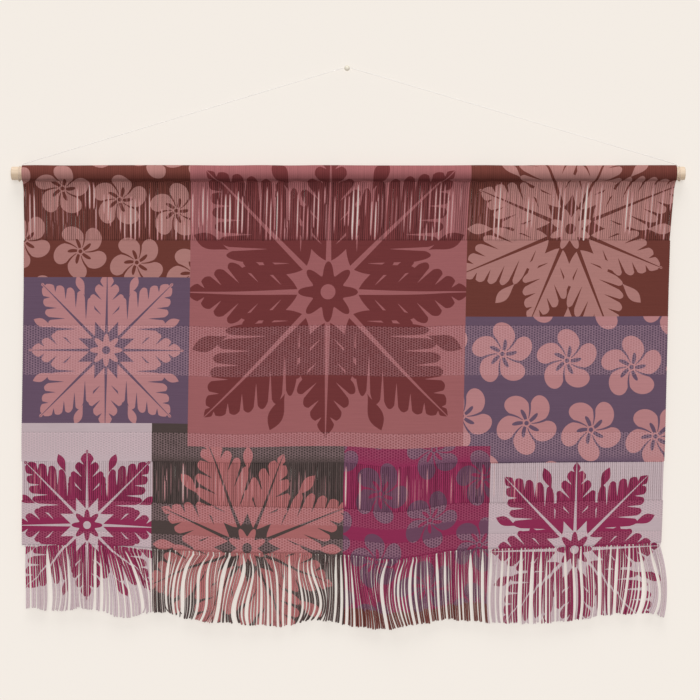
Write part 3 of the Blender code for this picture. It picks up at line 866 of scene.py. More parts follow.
def make_warp(name, top, foot, slits):
    """The loose threads of one open band, from under its top edge to under its foot. Loose
    fibres fill the first part of every opening, and a thread is widest at its two ends."""
    random = np.random.default_rng(WARP_SEED + len(slits))
    u = (np.arange(WARP_THREADS) + 0.5)[:, None] * WARP_PITCH
    v = snapped(np.linspace(POCKET_SEAM - top, POCKET_SEAM - foot, WARP_ROWS), block_edges(2, 3))
    z = (POCKET_SEAM - v)[None, :]
    down = (top - z) / (top - foot)
    lines = hang(u / LOOM_WIDTH, z)
    belly = np.sin(math.pi * np.clip(down, 0.0, 1.0))
    sway = random.normal(0.0, WARP_STRAYS, (WARP_THREADS, 1)) * np.sin(FULL_TURN * down)
    gaps = slit_gaps(slits, down, lines[:, WARP_ROWS // 2, 0], random)
    lines[..., 0] += parted(np.clip(gaps - FIBRES_FILL, 0.0, None), WARP_REACH) + sway
    layer = np.where(np.arange(WARP_THREADS) % 2, WARP_LAYER, -WARP_LAYER)[:, None]
    lines[..., 1] += layer * np.sqrt(belly) + random.normal(0.0, WARP_STRAYS, (WARP_THREADS, 1))
    narrow = 1.04 - WARP_NARROWS * belly * random.uniform(0.0, 1.0, (WARP_THREADS, 1))
    made = make_tubes(name, lines, WARP_HALF_WIDTH * narrow, WARP_HALF_DEPTH, WARP_SIDES)
    tone = random.normal(0.0, 1.0, (WARP_THREADS, 1))
    bare = bare_and_lit_flanks(gaps, random)
    print_threads(made.data, u, v, WARP_HALF_WIDTH, WARP_SIDES, tone, bare)
    tell(made)
    return made


upper_warp = make_warp("upper_warp", POCKET_SEAM + TUCK, MAIN_TOP - TUCK, UPPER_SLITS)
lower_warp = make_warp("lower_warp", MAIN_FOOT + TUCK, HEM_TOP - TUCK, LOWER_SLITS)
print("slits", len(UPPER_SLITS), "above and", len(LOWER_SLITS), "below")

# %% [markdown]
# Under the hem the warp runs free as a fringe. Its yarns are drawn together in locks, sweep
# sideways and part again, so what is behind shows between them. The first table is the sweep of
# the frame's strands, with how far apart the yarns tend to stand there. The second names the
# gaps that stand out, with their place at the hem, their width and how far below the hem they
# begin.

# %% The fringe's tables
FRINGE_LEFT = -571 * MM
FRINGE_RIGHT = 557 * MM

SWAY = (
    # x_mm, third_mm, two_thirds_mm, tip_mm, length_mm, apart_mm
    (-571, 0.0, 0.0, 0.0, 112, 0.6),
    (-545, 1.5, 4.0, 4.0, 116, 0.5),
    (-515, 5.0, 8.0, 3.5, 117, 0.2),
    (-478, 0.0, 0.0, 3.0, 115, 0.0),
    (-450, 1.5, 2.0, 0.5, 119, 0.5),
    (-415, 14.0, 22.0, 25.0, 128, 0.9),
    (-393, 16.0, 27.0, 31.0, 121, 1.0),
    (-368, 7.0, 13.0, 15.0, 115, 0.8),
    (-348, 0.5, 0.5, 1.5, 114, 0.1),
    (-320, -2.0, -3.0, 0.0, 112, 0.3),
    (-300, -9.0, -14.0, -10.0, 113, 0.9),
    (-262, -18.0, -20.0, -24.0, 121, 1.1),
    (-232, -11.0, -12.0, -24.0, 125, 1.2),
    (-200, -12.0, -20.0, -25.0, 127, 1.4),
    (-180, 0.0, -12.0, -10.0, 129, 1.4),
    (-160, 5.0, 6.0, 4.0, 131, 1.3),
    (-145, 8.0, 10.0, 10.0, 132, 0.9),
    (-104, 0.0, -1.0, -2.0, 130, 0.6),
    (-77, 1.0, 9.0, -1.0, 122, 0.9),
    (-62, 4.0, 15.0, 5.0, 120, 1.0),
    (-28, 1.0, 1.0, -4.0, 122, 0.7),
    (0, 1.0, 3.0, 3.0, 127, 0.2),
    (30, 1.0, 9.0, 14.0, 130, 0.0),
    (70, -7.0, -4.0, 3.0, 127, 0.4),
    (90, -8.0, -6.0, 6.0, 123, 0.9),
    (112, -8.0, -6.0, 2.0, 121, 0.9),
    (135, 0.0, 2.0, 7.0, 121, 0.3),
    (180, 0.0, 1.0, 4.0, 124, 0.1),
    (225, 0.0, 1.0, 3.0, 129, 0.1),
    (260, -1.5, -3.0, 0.0, 133, 0.2),
    (320, -1.5, -3.0, -3.0, 136, 0.5),
    (380, 0.0, 0.5, 0.0, 134, 0.9),
    (430, 1.0, 3.0, -1.0, 130, 0.6),
    (470, -1.0, -2.0, -2.0, 125, 0.9),
    (510, 1.0, -2.0, -11.0, 126, 0.8),
    (535, 10.0, 17.0, 8.0, 128, 0.9),
    (557, 7.0, 9.0, 4.0, 136, 0.9),
)
GAPS = (
    # x_mm, width_mm, begins_mm
    (-563, 3.6, 3), (-556, 3.6, 8), (-534, 6.5, 6), (-529, 3.0, 20), (-517, 2.6, 22),
    (-501, 4.0, 4), (-489, 2.4, 40), (-472, 2.6, 30), (-450, 5.0, 6), (-441, 3.4, 30),
    (-434, 4.0, 34), (-424, 3.6, 14), (-409, 5.5, 32), (-394, 8.5, 8), (-372, 6.5, 34),
    (-354, 2.4, 4), (-346, 2.2, 26), (-316, 5.5, 3), (-303, 3.6, 10), (-292, 3.0, 2),
    (-286, 4.4, 12), (-272, 7.5, 2), (-262, 4.0, 2), (-250, 4.5, 2), (-239, 4.5, 2),
    (-228, 3.2, 6), (-210, 8.0, 2), (-197, 4.0, 8), (-184, 5.5, 3), (-172, 5.0, 3),
    (-160, 4.0, 8), (-147, 3.6, 10), (-133, 4.0, 4), (-113, 5.0, 20), (-101, 4.0, 6),
    (-84, 4.0, 6), (-70, 4.5, 10), (-62, 6.5, 8), (-48, 3.0, 18), (-33, 4.0, 14),
    (-21, 5.5, 2), (-12, 3.6, 4), (-6, 4.0, 4), (4, 3.2, 10), (30, 2.6, 30),
    (70, 6.5, 2), (84, 4.0, 14), (96, 3.0, 2), (101, 3.6, 2), (107, 4.0, 2),
    (116, 5.5, 2), (124, 4.0, 2), (141, 3.6, 4), (159, 5.0, 2), (175, 4.0, 2),
    (198, 3.4, 14), (221, 7.5, 6), (242, 6.0, 3), (256, 5.0, 3), (279, 4.5, 3),
    (288, 3.6, 6), (311, 7.0, 2), (332, 5.0, 3), (345, 4.5, 4), (355, 4.5, 10),
    (372, 4.5, 6), (388, 4.0, 6), (402, 4.0, 3), (417, 4.0, 3), (428, 3.6, 3),
    (449, 7.5, 3), (470, 5.5, 2), (483, 7.0, 3), (492, 4.0, 10), (503, 4.5, 3),
    (521, 6.5, 3), (538, 4.5, 4), (549, 4.0, 8),
)
print("sweep rows", len(SWAY), "gaps", len(GAPS))

# %% [markdown]
# All yarns are worked out as one array: one row for each yarn, one column for each step down.
# There are as many as there are warp threads, for they are the same threads. The steps are
# close together at the hem, where a small round eye opens between many neighbours, and close
# again at the cut end, which is rounded. Gaps part the yarns by the same rule as the slits
# above, and a yarn is never wider than the room that its neighbours leave it.

# %% The fringe's yarns
YARNS = WARP_THREADS
YARN_PITCH = (FRINGE_RIGHT - FRINGE_LEFT) / YARNS
YARN_HALF_WIDTH = 1.85 * MM
YARN_LEAST = 0.90 * MM
YARN_HALF_DEPTH = 0.95 * MM
ROOT_WIDER = 0.15 * MM
YARN_SIDES = 8
YARN_REACH = 6.0
STRIP = 8 * MM
LAYER_STEP = 0.8 * MM
LAYER_FREE = 14 * MM
LOCK_SEED = 7
LOCK_PULL = 0.07
LOCK_SIZES = (3, 11)
CUT_UNEVEN = 2.2 * MM
CUT_RAGGED = 1.1 * MM
WANDER = 0.3 * MM
WAVER = 0.15 * MM
ROOT_STEPS_MM = (0.0, 1.2, 2.0, 2.8, 3.6, 4.6, 6.0, 8.0)
FREE_STEPS = 22
TIP_STEPS_MM = (2.4, 1.1, 0.4, 0.0)
TIP_WIDTHS = (1.0, 0.96, 0.78, 0.45)
GAP_OPENS = 42 * MM
GAP_SNAPS = 5 * MM
GAP_AT_ONCE = 0.35
EYE = 1.9 * MM
EYE_DOWN = 2.6 * MM
EYE_REACH = 1.1 * MM
EYE_SHARE = 0.6
NAMED_EYE = 1.3
NAMED_EYE_ABOVE_MM = 8
HAIR_OPENS = 0.95 * MM
PARTED_SHARE = 0.34
PARTED_MORE = 1.8
PARTS_BETWEEN = (4 * MM, 40 * MM)
BARE_BETWEEN = (2 * MM, 12 * MM)
PLUMP = 0.03
PLUMP_LENGTH = 7 * MM
SQUEEZE = 0.10 * MM
HOOKED_SHARE = 0.03
HOOK = 5 * MM
HOOK_STARTS = 0.86


def lock_pulls():
    """For each yarn, how far it is drawn towards the middle of its lock of yarns."""
    random = np.random.default_rng(LOCK_SEED)
    pulls = []
    while len(pulls) < YARNS:
        size = int(random.integers(*LOCK_SIZES))
        middle = (size - 1) / 2
        pulls += [(middle - place) * YARN_PITCH * LOCK_PULL for place in range(size)]
    return np.array(pulls[:YARNS])


def sweep(x, level):
    """Sideways sweep at a share of the free length: the cubic through nothing at the root and
    the table's values a third down, two thirds down and at the tip."""
    third, two_thirds, tip = (smooth_table(x / MM, SWAY, index) for index in (1, 2, 3))
    t = level * 3
    return MM * (third * t * (t - 2) * (t - 3) / 2 - two_thirds * t * (t - 1) * (t - 3) / 2
                 + tip * t * (t - 1) * (t - 2) / 6)


def fringe_gaps(down, random):
    """Openings to the left of each yarn at each distance down. A named gap opens by a third at
    once and by the rest slowly from where it begins, and has an eye if that is near the hem.
    More than half of the others begin with an eye, a bell curve on the distance down, and go
    on as a hairline."""
    eyes = (random.random((YARNS, 1)) < EYE_SHARE) * random.uniform(0.6, 1.1, (YARNS, 1))
    yarns = np.rint((column(GAPS, 0) * MM - FRINGE_LEFT) / YARN_PITCH).astype(int)
    eyes[yarns, 0] = np.where(column(GAPS, 2) < NAMED_EYE_ABOVE_MM, NAMED_EYE, 0.0)
    gaps = eyes * EYE * np.exp(-((down - EYE_DOWN) / EYE_REACH) ** 2)
    gaps = gaps + eyes * HAIR_OPENS * ramp(down, 0.0, EYE_DOWN)
    for yarn, width, start in zip(yarns, column(GAPS, 1) * MM, column(GAPS, 2) * MM):
        at_once = GAP_AT_ONCE * ramp(down[yarn], start, start + GAP_SNAPS)
        slowly = (1 - GAP_AT_ONCE) * ramp(down[yarn], start, start + GAP_OPENS)
        gaps[yarn] += (width - HAIR_OPENS) * (at_once + slowly)
    return gaps


def steps_down(length):
    """Distances of a yarn's rings below its root: close at the root, even down the free length,
    close again at the tip."""
    root = np.array(ROOT_STEPS_MM) * MM
    tip = length - np.array(TIP_STEPS_MM) * MM
    share = np.linspace(0.0, 1.0, FREE_STEPS + 2)[None, 1:-1]
    free = root[-1] + (tip[:, :1] - root[-1]) * share
    return np.concatenate([np.broadcast_to(root, (len(length), len(root))), free, tip], axis=1)


def room_beside(x):
    """For each yarn at each step, the distance to the nearer one of its two neighbours."""
    apart = np.abs(np.diff(x, axis=0))
    return np.minimum(np.concatenate([apart[:1], apart]), np.concatenate([apart, apart[-1:]]))


def make_fringe():
    """The fringe: yarns that start under the hem, follow their sweep and their lock's pull,
    part at the gaps and end in a rounded cut; a few of them are hooked at the end."""
    random = np.random.default_rng(LOCK_SEED + 2)
    root = FRINGE_LEFT + (np.arange(YARNS)[:, None] + 0.5) * YARN_PITCH
    slow = np.interp(np.arange(YARNS), np.arange(0, YARNS + 3, 3),
                     random.uniform(-1.0, 1.0, YARNS // 3 + 1))[:, None]
    length = smooth_table(root / MM, SWAY, 4) * MM + slow * CUT_UNEVEN
    length = length + random.uniform(-1.0, 1.0, (YARNS, 1)) * CUT_RAGGED
    down = steps_down(length)
    level = np.clip((down - STRIP) / (length - STRIP), 0.0, 1.0)
    pull = lock_pulls()[:, None] * np.minimum(1.0, 2 * level)
    wander = random.normal(0.0, WANDER, (YARNS, 1)) * level ** 2
    wander = wander + random.normal(0.0, WAVER, (YARNS, 1)) * np.sin(FULL_TURN * level)
    hooked = (random.random((YARNS, 1)) < HOOKED_SHARE) * random.choice([-1.0, 1.0], (YARNS, 1))
    hook = hooked * HOOK * np.clip((level - HOOK_STARTS) / (1 - HOOK_STARTS), 0.0, 1.0) ** 2
    gaps = fringe_gaps(down, random)
    apart = smooth_table(root / MM, SWAY, 5) * MM * ramp(down, *PARTS_BETWEEN)
    gaps = gaps + apart * PARTED_MORE * (random.random((YARNS, 1)) < PARTED_SHARE)
    x = root + sweep(root, level) + pull + parted(gaps, YARN_REACH) + wander
    share = (root - side_edge(HEM, 1)) / (side_edge(HEM, 2) - side_edge(HEM, 1))
    hem = hang(share, np.full_like(share, HEM))
    layer = np.where(np.arange(YARNS) % 2, LAYER_STEP, -LAYER_STEP)[:, None]
    freed = ramp(down, 0.0, LAYER_FREE)
    y = hem[..., 1] + layer * (0.3 + 0.7 * freed)
    y = y + random.normal(0.0, WANDER, (YARNS, 1)) * freed
    z = hem[..., 2] + TUCK - down + 0.5 * np.abs(hook)
    tip = np.ones_like(down)
    tip[:, -len(TIP_WIDTHS):] = TIP_WIDTHS
    plump = 1 + PLUMP * np.sin(down / PLUMP_LENGTH + random.uniform(0, 6, (YARNS, 1)))
    free = room_beside(x) / 2 + random.uniform(-1.0, 1.0, (YARNS, 1)) * SQUEEZE
    widest = YARN_HALF_WIDTH + ROOT_WIDER * (1 - freed)
    half_width = np.clip(free, YARN_LEAST, widest) * tip * plump
    half_depth = YARN_HALF_DEPTH * tip * (0.75 + 0.25 * freed)
    made = make_tubes("fringe_yarns", np.stack([x + hook, y, z], axis=-1), half_width,
                      half_depth, YARN_SIDES)
    tone = random.normal(0.0, 1.0, (YARNS, 1))
    bare = bare_and_lit_flanks(gaps, random) * ramp(down, *BARE_BETWEEN)
    print_threads(made.data, share * LOOM_WIDTH, POCKET_SEAM - HEM + down, YARN_HALF_WIDTH,
                  YARN_SIDES, tone, bare)
    tell(made)
    return made


fringe_yarns = make_fringe()

# %% [markdown]
# Two thin finishes hold the cloth's edges: the seam that closes the pocket, which is a narrow
# welt, and the selvedges, where the weft turns back round the last warp thread and makes a
# row of small loops down each side.

# %% Pocket seam and selvedges
WELT_HALF = 1.25 * MM
WELT_WIDER = 1.1
WELT_POINTS = 520
WELT_SIDES = 10
WELT_RISE = 0.3 * MM
SELVEDGE_HALF = 1.05 * MM
SELVEDGE_LOOP = 3.4 * MM
SELVEDGE_STEP = 0.85 * MM
SELVEDGE_SIDES = 8
SELVEDGE_OUT = 0.5 * MM
EDGE_PRINT = -0.1 * MM


def make_welt():
    """A flat roll along the pocket's seam whose thickness waves with the wrinkles above it."""
    u = np.linspace(0.0, LOOM_WIDTH, WELT_POINTS)
    line = hang(u / LOOM_WIDTH, np.full_like(u, POCKET_SEAM + WELT_RISE))
    line[:, 2] += WELT_RISE * np.sin(u / (9 * MM) + 1.6 * np.sin(u / (37 * MM)))
    half = WELT_HALF * (1 + 0.14 * np.sin(u / (5.1 * MM)))
    made = make_tubes("pocket_welt", line[None], (half * WELT_WIDER)[None], half[None], WELT_SIDES)
    place = np.repeat(u, WELT_SIDES)
    print_on(made.data, place, np.zeros_like(place))
    set_points(made.data, tone=0.0)
    tell(made)
    return made


def make_selvedges():
    """Tubes down both side edges of the closed weave, swollen once in each loop's length: the
    swelling is the size of sin(pi run / length)."""
    steps = int((MAIN_TOP - MAIN_FOOT) / SELVEDGE_STEP)
    share = np.array([0.0, 0.0, 1.0, 1.0])[:, None]
    z = np.linspace([MAIN_TOP, HEM_TOP] * 2, [MAIN_FOOT, HEM] * 2, steps, axis=1)
    lines = hang(share, z)
    loop = np.abs(np.sin(along(lines) * math.pi / SELVEDGE_LOOP))
    lines[..., 0] += (2 * share - 1) * SELVEDGE_OUT * loop
    half = SELVEDGE_HALF * (0.72 + 0.28 * loop)
    made = make_tubes("selvedges", lines, half, half, SELVEDGE_SIDES)
    u = np.repeat(share * LOOM_WIDTH + EDGE_PRINT, steps * SELVEDGE_SIDES)
    print_on(made.data, u, np.repeat(POCKET_SEAM - z, SELVEDGE_SIDES))
    set_points(made.data, tone=0.0)
    tell(made)
    return made


pocket_welt = make_welt()
selvedges = make_selvedges()

# %% [markdown]
# Materials are written as sums. A small class stands for a number or a colour on its way
# through the nodes, and arithmetic on it adds Math nodes, so a pattern reads like its formula.

# %% Shader maths
LIGHT_SHARES = (0.21, 0.72, 0.07)


def node_maths(operation, swapped=False):
    """A method that adds one Math node, with the signal as its first value, or as its last."""
    def method(self, *others):
        """Do the operation with the signal and any others."""
        values = (*others, self) if swapped else (self, *others)
        return self.finish.maths(operation, *values)
    return method


class Signal:
    """A number, vector or colour on its way through a material; arithmetic adds Math nodes."""

    def __init__(self, finish, socket):
        self.finish = finish
        self.socket = socket

    __add__ = __radd__ = node_maths("ADD")
    __mul__ = __rmul__ = node_maths("MULTIPLY")
    __sub__ = node_maths("SUBTRACT")
    __rsub__ = node_maths("SUBTRACT", swapped=True)
    __truediv__ = node_maths("DIVIDE")
    __pow__ = node_maths("POWER")
    __abs__ = node_maths("ABSOLUTE")
    __lt__ = node_maths("LESS_THAN")
    __gt__ = node_maths("GREATER_THAN")
    larger = node_maths("MAXIMUM")
    smaller = node_maths("MINIMUM")
    fraction = node_maths("FRACT")
    whole = node_maths("FLOOR")
    sine = node_maths("SINE")
    cosine = node_maths("COSINE")
    angle_over = node_maths("ARCTAN2")

    def held(self):
        """The value kept between 0 and 1."""
        return self.larger(0.0).smaller(1.0)

    def wave(self):
        """The sine of the value, moved to lie between 0 and 1."""
        return self.sine() * 0.5 + 0.5


class Finish:
    """One material: its nodes and the Principled surface that they end in."""

    def __init__(self, name, surface):
        self.material = bpy.data.materials.new(name)
        self.material.use_nodes = True
        self.nodes = self.material.node_tree.nodes
        self.links = self.material.node_tree.links
        self.surface = self.nodes["Principled BSDF"]
        for socket, value in surface.items():
            self.put(self.surface.inputs[socket], value)

    def put(self, socket, value):
        """Link a signal to a socket, or set the socket to a constant."""
        if isinstance(value, Signal):
            self.links.new(value.socket, socket)
        else:
            socket.default_value = value

    def node(self, kind, settings=None, inputs=None, output=0):
        """Any node: its settings first, then the values or links of its sockets."""
        made = self.nodes.new("ShaderNode" + kind)
        for name, value in (settings or {}).items():
            if name == "stops":
                self.set_stops(made.color_ramp.elements, value)
            else:
                setattr(made, name, value)
        for name, value in (inputs or {}).items():
            self.put(made.inputs[name], value)
        return Signal(self, made.outputs[output])

    def set_stops(self, elements, stops):
        """Give a colour ramp its stops, as pairs of place and colour."""
        while len(elements) < len(stops):
            elements.new(0.5)
        for element, (place, colour) in zip(elements, stops):
            element.position = place
            element.color = colour

    def maths(self, operation, *values):
        """A Math node of one operation on one to three values."""
        return self.node("Math", {"operation": operation}, dict(enumerate(values)))

    def parts(self, vector):
        """The three parts of a vector."""
        return [self.node("SeparateXYZ", inputs={0: vector}, output=k) for k in range(3)]

    def attribute(self, name, output):
        """What the mesh holds under a name: output 0 is a colour, 1 a vector and 2 a number."""
        return self.node("Attribute", {"attribute_name": name}, output=output)

    def mix(self, share, first, second):
        """A colour that lies the given share of the way from the first to the second."""
        return self.node("Mix", {"data_type": "RGBA"}, {0: share, 6: first, 7: second}, output=2)

    def scaled(self, colour, factor):
        """A colour made lighter or darker."""
        return self.node("VectorMath", {"operation": "SCALE"}, {0: colour, "Scale": factor})

    def contrast(self, colour, rate):
        """How much of a yarn's marks shows on a colour: 1 on black, and 0.15 where the colour's
        brightness, the sum of its parts each times its share in what is seen, reaches 1/rate."""
        brightness = self.node("VectorMath", {"operation": "DOT_PRODUCT"},
                               {0: colour, 1: LIGHT_SHARES}, output=1)
        return 1 - (brightness * rate).held() * 0.85

    def noise(self, vector, scale, detail=2.0, roughness=0.5):
        """A noise between 0 and 1, with so many turns to the metre."""
        return self.node("TexNoise", inputs={"Vector": vector, "Scale": scale, "Detail": detail,
                                             "Roughness": roughness})

    def stretched(self, place, scales, detail=2.0, roughness=0.5):
        """A noise with its own number of turns to the metre in each direction."""
        turned = self.node("Mapping", inputs={"Vector": place, "Scale": scales})
        return self.noise(turned, 1.0, detail, roughness)

    def shows(self, colour, height, distance, strength=1.0):
        """What the surface looks like: its colour, and its relief in metres."""
        self.put(self.surface.inputs["Base Color"], colour)
        relief = self.node("Bump", inputs={"Height": height, "Distance": distance,
                                           "Strength": strength})
        self.put(self.surface.inputs["Normal"], relief)


# %% [markdown]
# Quilt motifs of the folded-paper kind come from folding a square three times and cutting
# once. The shader does the same: it takes the sizes of the two coordinates, puts the larger
# one first, and cuts leaves in the wedge that is left, so eight of everything appear.

# %% Motifs of the print
REVERSE_BARE = 0.36
BARE_COTTON = (0.74, 0.64, 0.60, 1.0)
LEAF_SWELL = 0.75
MARGIN_SCALLOP = 0.30
NOTCH_STARTS = 0.3
NOTCH_WIDTH = 0.34
VEIN = 0.016
AXIS_SPAN = (0.20, 0.97)
DIAGONAL_SPAN = (0.22, 1.16)
BUD_STARTS = 0.72
BUD_LENGTH = 0.26
FLOWER_REACH = 0.485


def leaf(s, t, span, width, lobes):
    """1 inside a lobed leaf. It grows along s and is as wide as width sin(pi share^LEAF_SWELL);
    each lobe's margin is rounded, notches lean towards the tip between lobes and open from near
    the midrib to the margin, and the midrib itself is left out."""
    start, end = span
    share = ((s - start) / (end - start)).held()
    half = (share ** LEAF_SWELL * math.pi).sine() * width
    side = abs(t) / half.larger(0.0001)
    place = abs(((s - abs(t)) * lobes).fraction() * 2 - 1)
    margin = 1 - place * place * MARGIN_SCALLOP
    opened = ((side - NOTCH_STARTS) / (1 - NOTCH_STARTS)).held() ** 0.8
    lobe = place < 1 - opened * NOTCH_WIDTH
    blade = abs(t) > (1.15 - share) * VEIN
    return (side < margin) * lobe * blade * (s > start) * (s < end)


def rosette(p, q, lobes, axis_leaf, diagonal_leaf):
    """A folded-paper rosette, in a wedge whose longer coordinate is a: leaves on the axes and
    the diagonals, buds between them, and a star with a hole in the middle."""
    a = abs(p).larger(abs(q))
    b = abs(p).smaller(abs(q))
    half = math.sqrt(0.5)
    eighth = math.pi / 8
    axis = leaf(a, b, AXIS_SPAN, axis_leaf, lobes)
    diagonal = leaf((a + b) * half, (a - b) * half, DIAGONAL_SPAN, diagonal_leaf, lobes)
    radius = (a * a + b * b) ** 0.5
    star = radius < (b.angle_over(a) * 8).cosine() * 0.045 + 0.155
    star = star * (radius > 0.05)
    bud_along = a * math.cos(eighth) + b * math.sin(eighth)
    bud_across = abs(b * math.cos(eighth) - a * math.sin(eighth))
    bud_share = ((bud_along - BUD_STARTS) / BUD_LENGTH).held()
    bud = bud_across < (bud_share ** 1.4 * math.pi).sine() * 0.05
    return axis.larger(diagonal).larger(star).larger(bud)


def blossoms(p, q):
    """Five-petalled flowers in staggered rows: inside where the distance from a flower's middle
    is less than 0.42 + 0.56 |cos(2.5 angle)|^0.55, less the thin lines between petals, the
    throat marks and the eye."""
    row = (q + 0.5).whole()
    shifted = p - (row * 0.5).fraction()
    x = shifted - (shifted + 0.5).whole()
    y = q - row
    radius = (x * x + y * y) ** 0.5 / FLOWER_REACH
    angle = y.angle_over(x) + radius * 0.5 + row * 0.6
    petal = abs((angle * 2.5).cosine())
    flower = (radius < petal ** 0.55 * 0.56 + 0.42) * (radius > 0.07)
    between = (petal < 0.16) * (radius > 0.16)
    throat = (radius < petal ** 3 * 0.46) * (radius > 0.12)
    return flower * (1 - between) * (1 - throat)


def printed(finish, reverse):
    """The print's colour where the surface is, from the attributes on its corners. The dye
    comes from the front, so a good third of it is missing on the reverse."""
    p, q, motif = finish.parts(finish.attribute("motif_place", 1))
    lobes, axis_leaf, diagonal_leaf = finish.parts(finish.attribute("motif_cut", 1))
    folded = rosette(p, q, lobes, axis_leaf, diagonal_leaf) * (motif < 0.5)
    flowers = blossoms(p, q) * (motif > 0.5) * (motif < 1.5)
    inside = folded + flowers
    dyed = finish.mix(inside, finish.attribute("ground", 0), finish.attribute("figure", 0))
    return finish.mix(reverse * REVERSE_BARE, dyed, BARE_COTTON)


# %% [markdown]
# The cloth. Plain bands are covered by fine crosswise ribs of weft, so the print lies flat and
# full on them. In the basket bands columns of warp pass over a coarser weft and leave small
# staggered holes; the print is broken there by painted shade in the holes, by a painted
# highlight on the threads between them and by pale fibre that took no dye. These show most
# where the print is dark, and a strong pink has soaked through, so less undyed fibre shows in
# it. Where a plain band ends, a painted shadow lies along its last weft as a thin dark line,
# with a painted highlight as a paler line under it. Painted shade darkens the pocket's lower
# part above its seam, and on the pocket the warp lies on top, so there the ribs run upright.

# %% Printed cloth
STITCH_PITCH = 4.5 * MM
RIB_PITCH = 1.5 * MM
SEAM_SHADOW_LINES = (
    # height_mm, painted shadow, painted highlight
    (-459.3, 0.42, 0.30),
    (-548.4, 0.20, 0.12),
    (-649.8, 0.30, 0.22),
    (-770.9, 0.20, 0.16),
    (-826.1, 0.26, 0.22),
    (-849.9, 0.85, 0.00),
)
LINE_HALF = 1.0 * MM
SHADOW_ABOVE = 0.3 * MM
HIGHLIGHT_BELOW = 1.7 * MM
HOLE_ACROSS = 0.27
HOLE_DOWN = 0.30
WEAVE_DRIFT = 1.6 * MM
CLOTH_RELIEF = 0.6 * MM
UNDYED_FIBRE = (0.66, 0.42, 0.46, 1.0)


def basket_weave(u, v):
    """Height of the basket weave, from 0 in a hole to 1 on a thread, and the holes: ellipses in
    columns a pitch apart, every second column half a stitch lower."""
    columns = u / COLUMN_PITCH
    x = columns.fraction() - 0.5
    y = (v / STITCH_PITCH + (columns.whole() * 0.5).fraction()).fraction() - 0.5
    x_share = x / HOLE_ACROSS
    y_share = y / HOLE_DOWN
    away = (x_share * x_share + y_share * y_share) ** 0.5
    hole = ((1.35 - away) * 1.7).held()
    crest = abs(x) * 2
    return (1 - hole) * (crest * 0.45 + 0.55), hole


def seam_shadow_lines(u, v):
    """What each seam takes from the brightness: for each one a painted shadow as a dark line and
    a painted highlight as a paler line under it, both tents of the distance below the seam,
    broken a little along the cloth."""
    total = 0.0
    stitches = (u * (FULL_TURN / COLUMN_PITCH)).sine() * 0.2 + 0.8
    for height_mm, dark, pale in SEAM_SHADOW_LINES:
        below = v - (POCKET_SEAM - height_mm * MM)
        total = (1 - abs(below + SHADOW_ABOVE) / LINE_HALF).held() * stitches * dark + total
        total = total - (1 - abs(below - HIGHLIGHT_BELOW) / LINE_HALF).held() * pale
    return total


def cloth_finish():
    """The printed cloth: the basket weave and the plain one are both worked out, and weave says
    which shows; warped says where the plain one's ribs run upright, and pinched where
    painted shade darkens the pocket's lower part above its seam."""
    finish = Finish("printed_cloth", {"Roughness": 0.92, "Specular IOR Level": 0.06})
    flat = finish.node("UVMap", {"uv_map": "flat"})
    u, v, _ = finish.parts(flat)
    colour = printed(finish, finish.attribute("reverse", 2))
    contrast = finish.contrast(colour, 4)
    weave = finish.attribute("weave", 2)
    pinched = finish.attribute("pinched", 2)
    warped = finish.attribute("warped", 2)
    drift_u = (finish.stretched(flat, (60.0, 90.0, 1.0)) - 0.5) * WEAVE_DRIFT
    drift_v = (finish.stretched(flat, (95.0, 70.0, 1.0)) - 0.5) * WEAVE_DRIFT
    height, hole = basket_weave(u + drift_u, v + drift_v)
    cells = finish.node("CombineXYZ", inputs={0: (u / COLUMN_PITCH * 2).whole(),
                                              1: (v / STITCH_PITCH * 2).whole()})
    speck = finish.node("TexWhiteNoise", {"noise_dimensions": "2D"}, {"Vector": cells})
    patch = finish.stretched(flat, (26.0, 40.0, 1.0))
    red, green, _ = finish.parts(colour)
    soaked = ((red - green * 3) * 5).held()
    undyed = (speck * 0.10 + patch * 0.10 + 0.045) * (1 - hole) * (1 - soaked * 0.65)
    # Painted shade darkens the holes, and a painted highlight brightens the threads between them.
    hole_shade_thread_highlight = 1 + ((1 - hole) * (1 - soaked) * 0.20 - hole * 0.44) * contrast
    basket = finish.mix(undyed, finish.scaled(colour, hole_shade_thread_highlight), UNDYED_FIBRE)
    upright = (finish.stretched(flat, (420.0, 9.0, 1.0)) - 0.5) * 2.4 + 0.5
    thread = (u * (FULL_TURN / WARP_PITCH)).wave()
    slub = finish.stretched(flat, (12.0, 480.0, 1.0)) * (1 - warped) + upright * warped
    rib = (v * (FULL_TURN / RIB_PITCH)).wave()
    ribbed = rib * 0.02 * (1 - warped) + (thread - 0.2) * 0.26 * warped * contrast
    plain = finish.scaled(colour, 0.95 + (slub - 0.5) * 0.18 + ribbed)
    worn = finish.stretched(flat, (9.0, 9.0, 1.0), 3.0)
    shown = finish.mix(weave, plain, basket)
    # Painted shadow and painted highlight as lines along the changes of weave and the hem.
    seam_shadows = seam_shadow_lines(u, v) * (1 - warped)
    shown = finish.scaled(shown, 1 - pinched * 0.34 - seam_shadows * 0.6 + (worn - 0.5) * 0.07)
    fine = (rib * 0.25 + slub * 0.3) * (1 - warped) + (thread * 0.5 + slub * 0.3) * warped
    finish.shows(shown, height * weave + fine * (1 - weave), CLOTH_RELIEF)
    return finish.material


cloth_material = cloth_finish()
print("cloth material nodes", len(cloth_material.node_tree.nodes))

# %% [markdown]
# Yarns. A yarn is fibres twisted together: the light catches a thin line that winds round it,
# and single fibres stand off as paler streaks. Each yarn also took the dye a little
# differently, which is the tone stored on it. Painted shade darkens both flanks, where
# neighbours touch, and where a yarn has turned since it was printed, a flank beside an opening
# shows that the dye never reached and is painted paler with light from the opening.

# %% Printed yarn
YARN_TWIST = 6.0 * MM
YARN_RELIEF = 0.3 * MM
# An undyed flank beside an opening, painted pale with light from the opening.
BARE_LIT_FLANK = (0.94, 0.46, 0.48, 1.0)
BARE_STARTS = 0.40


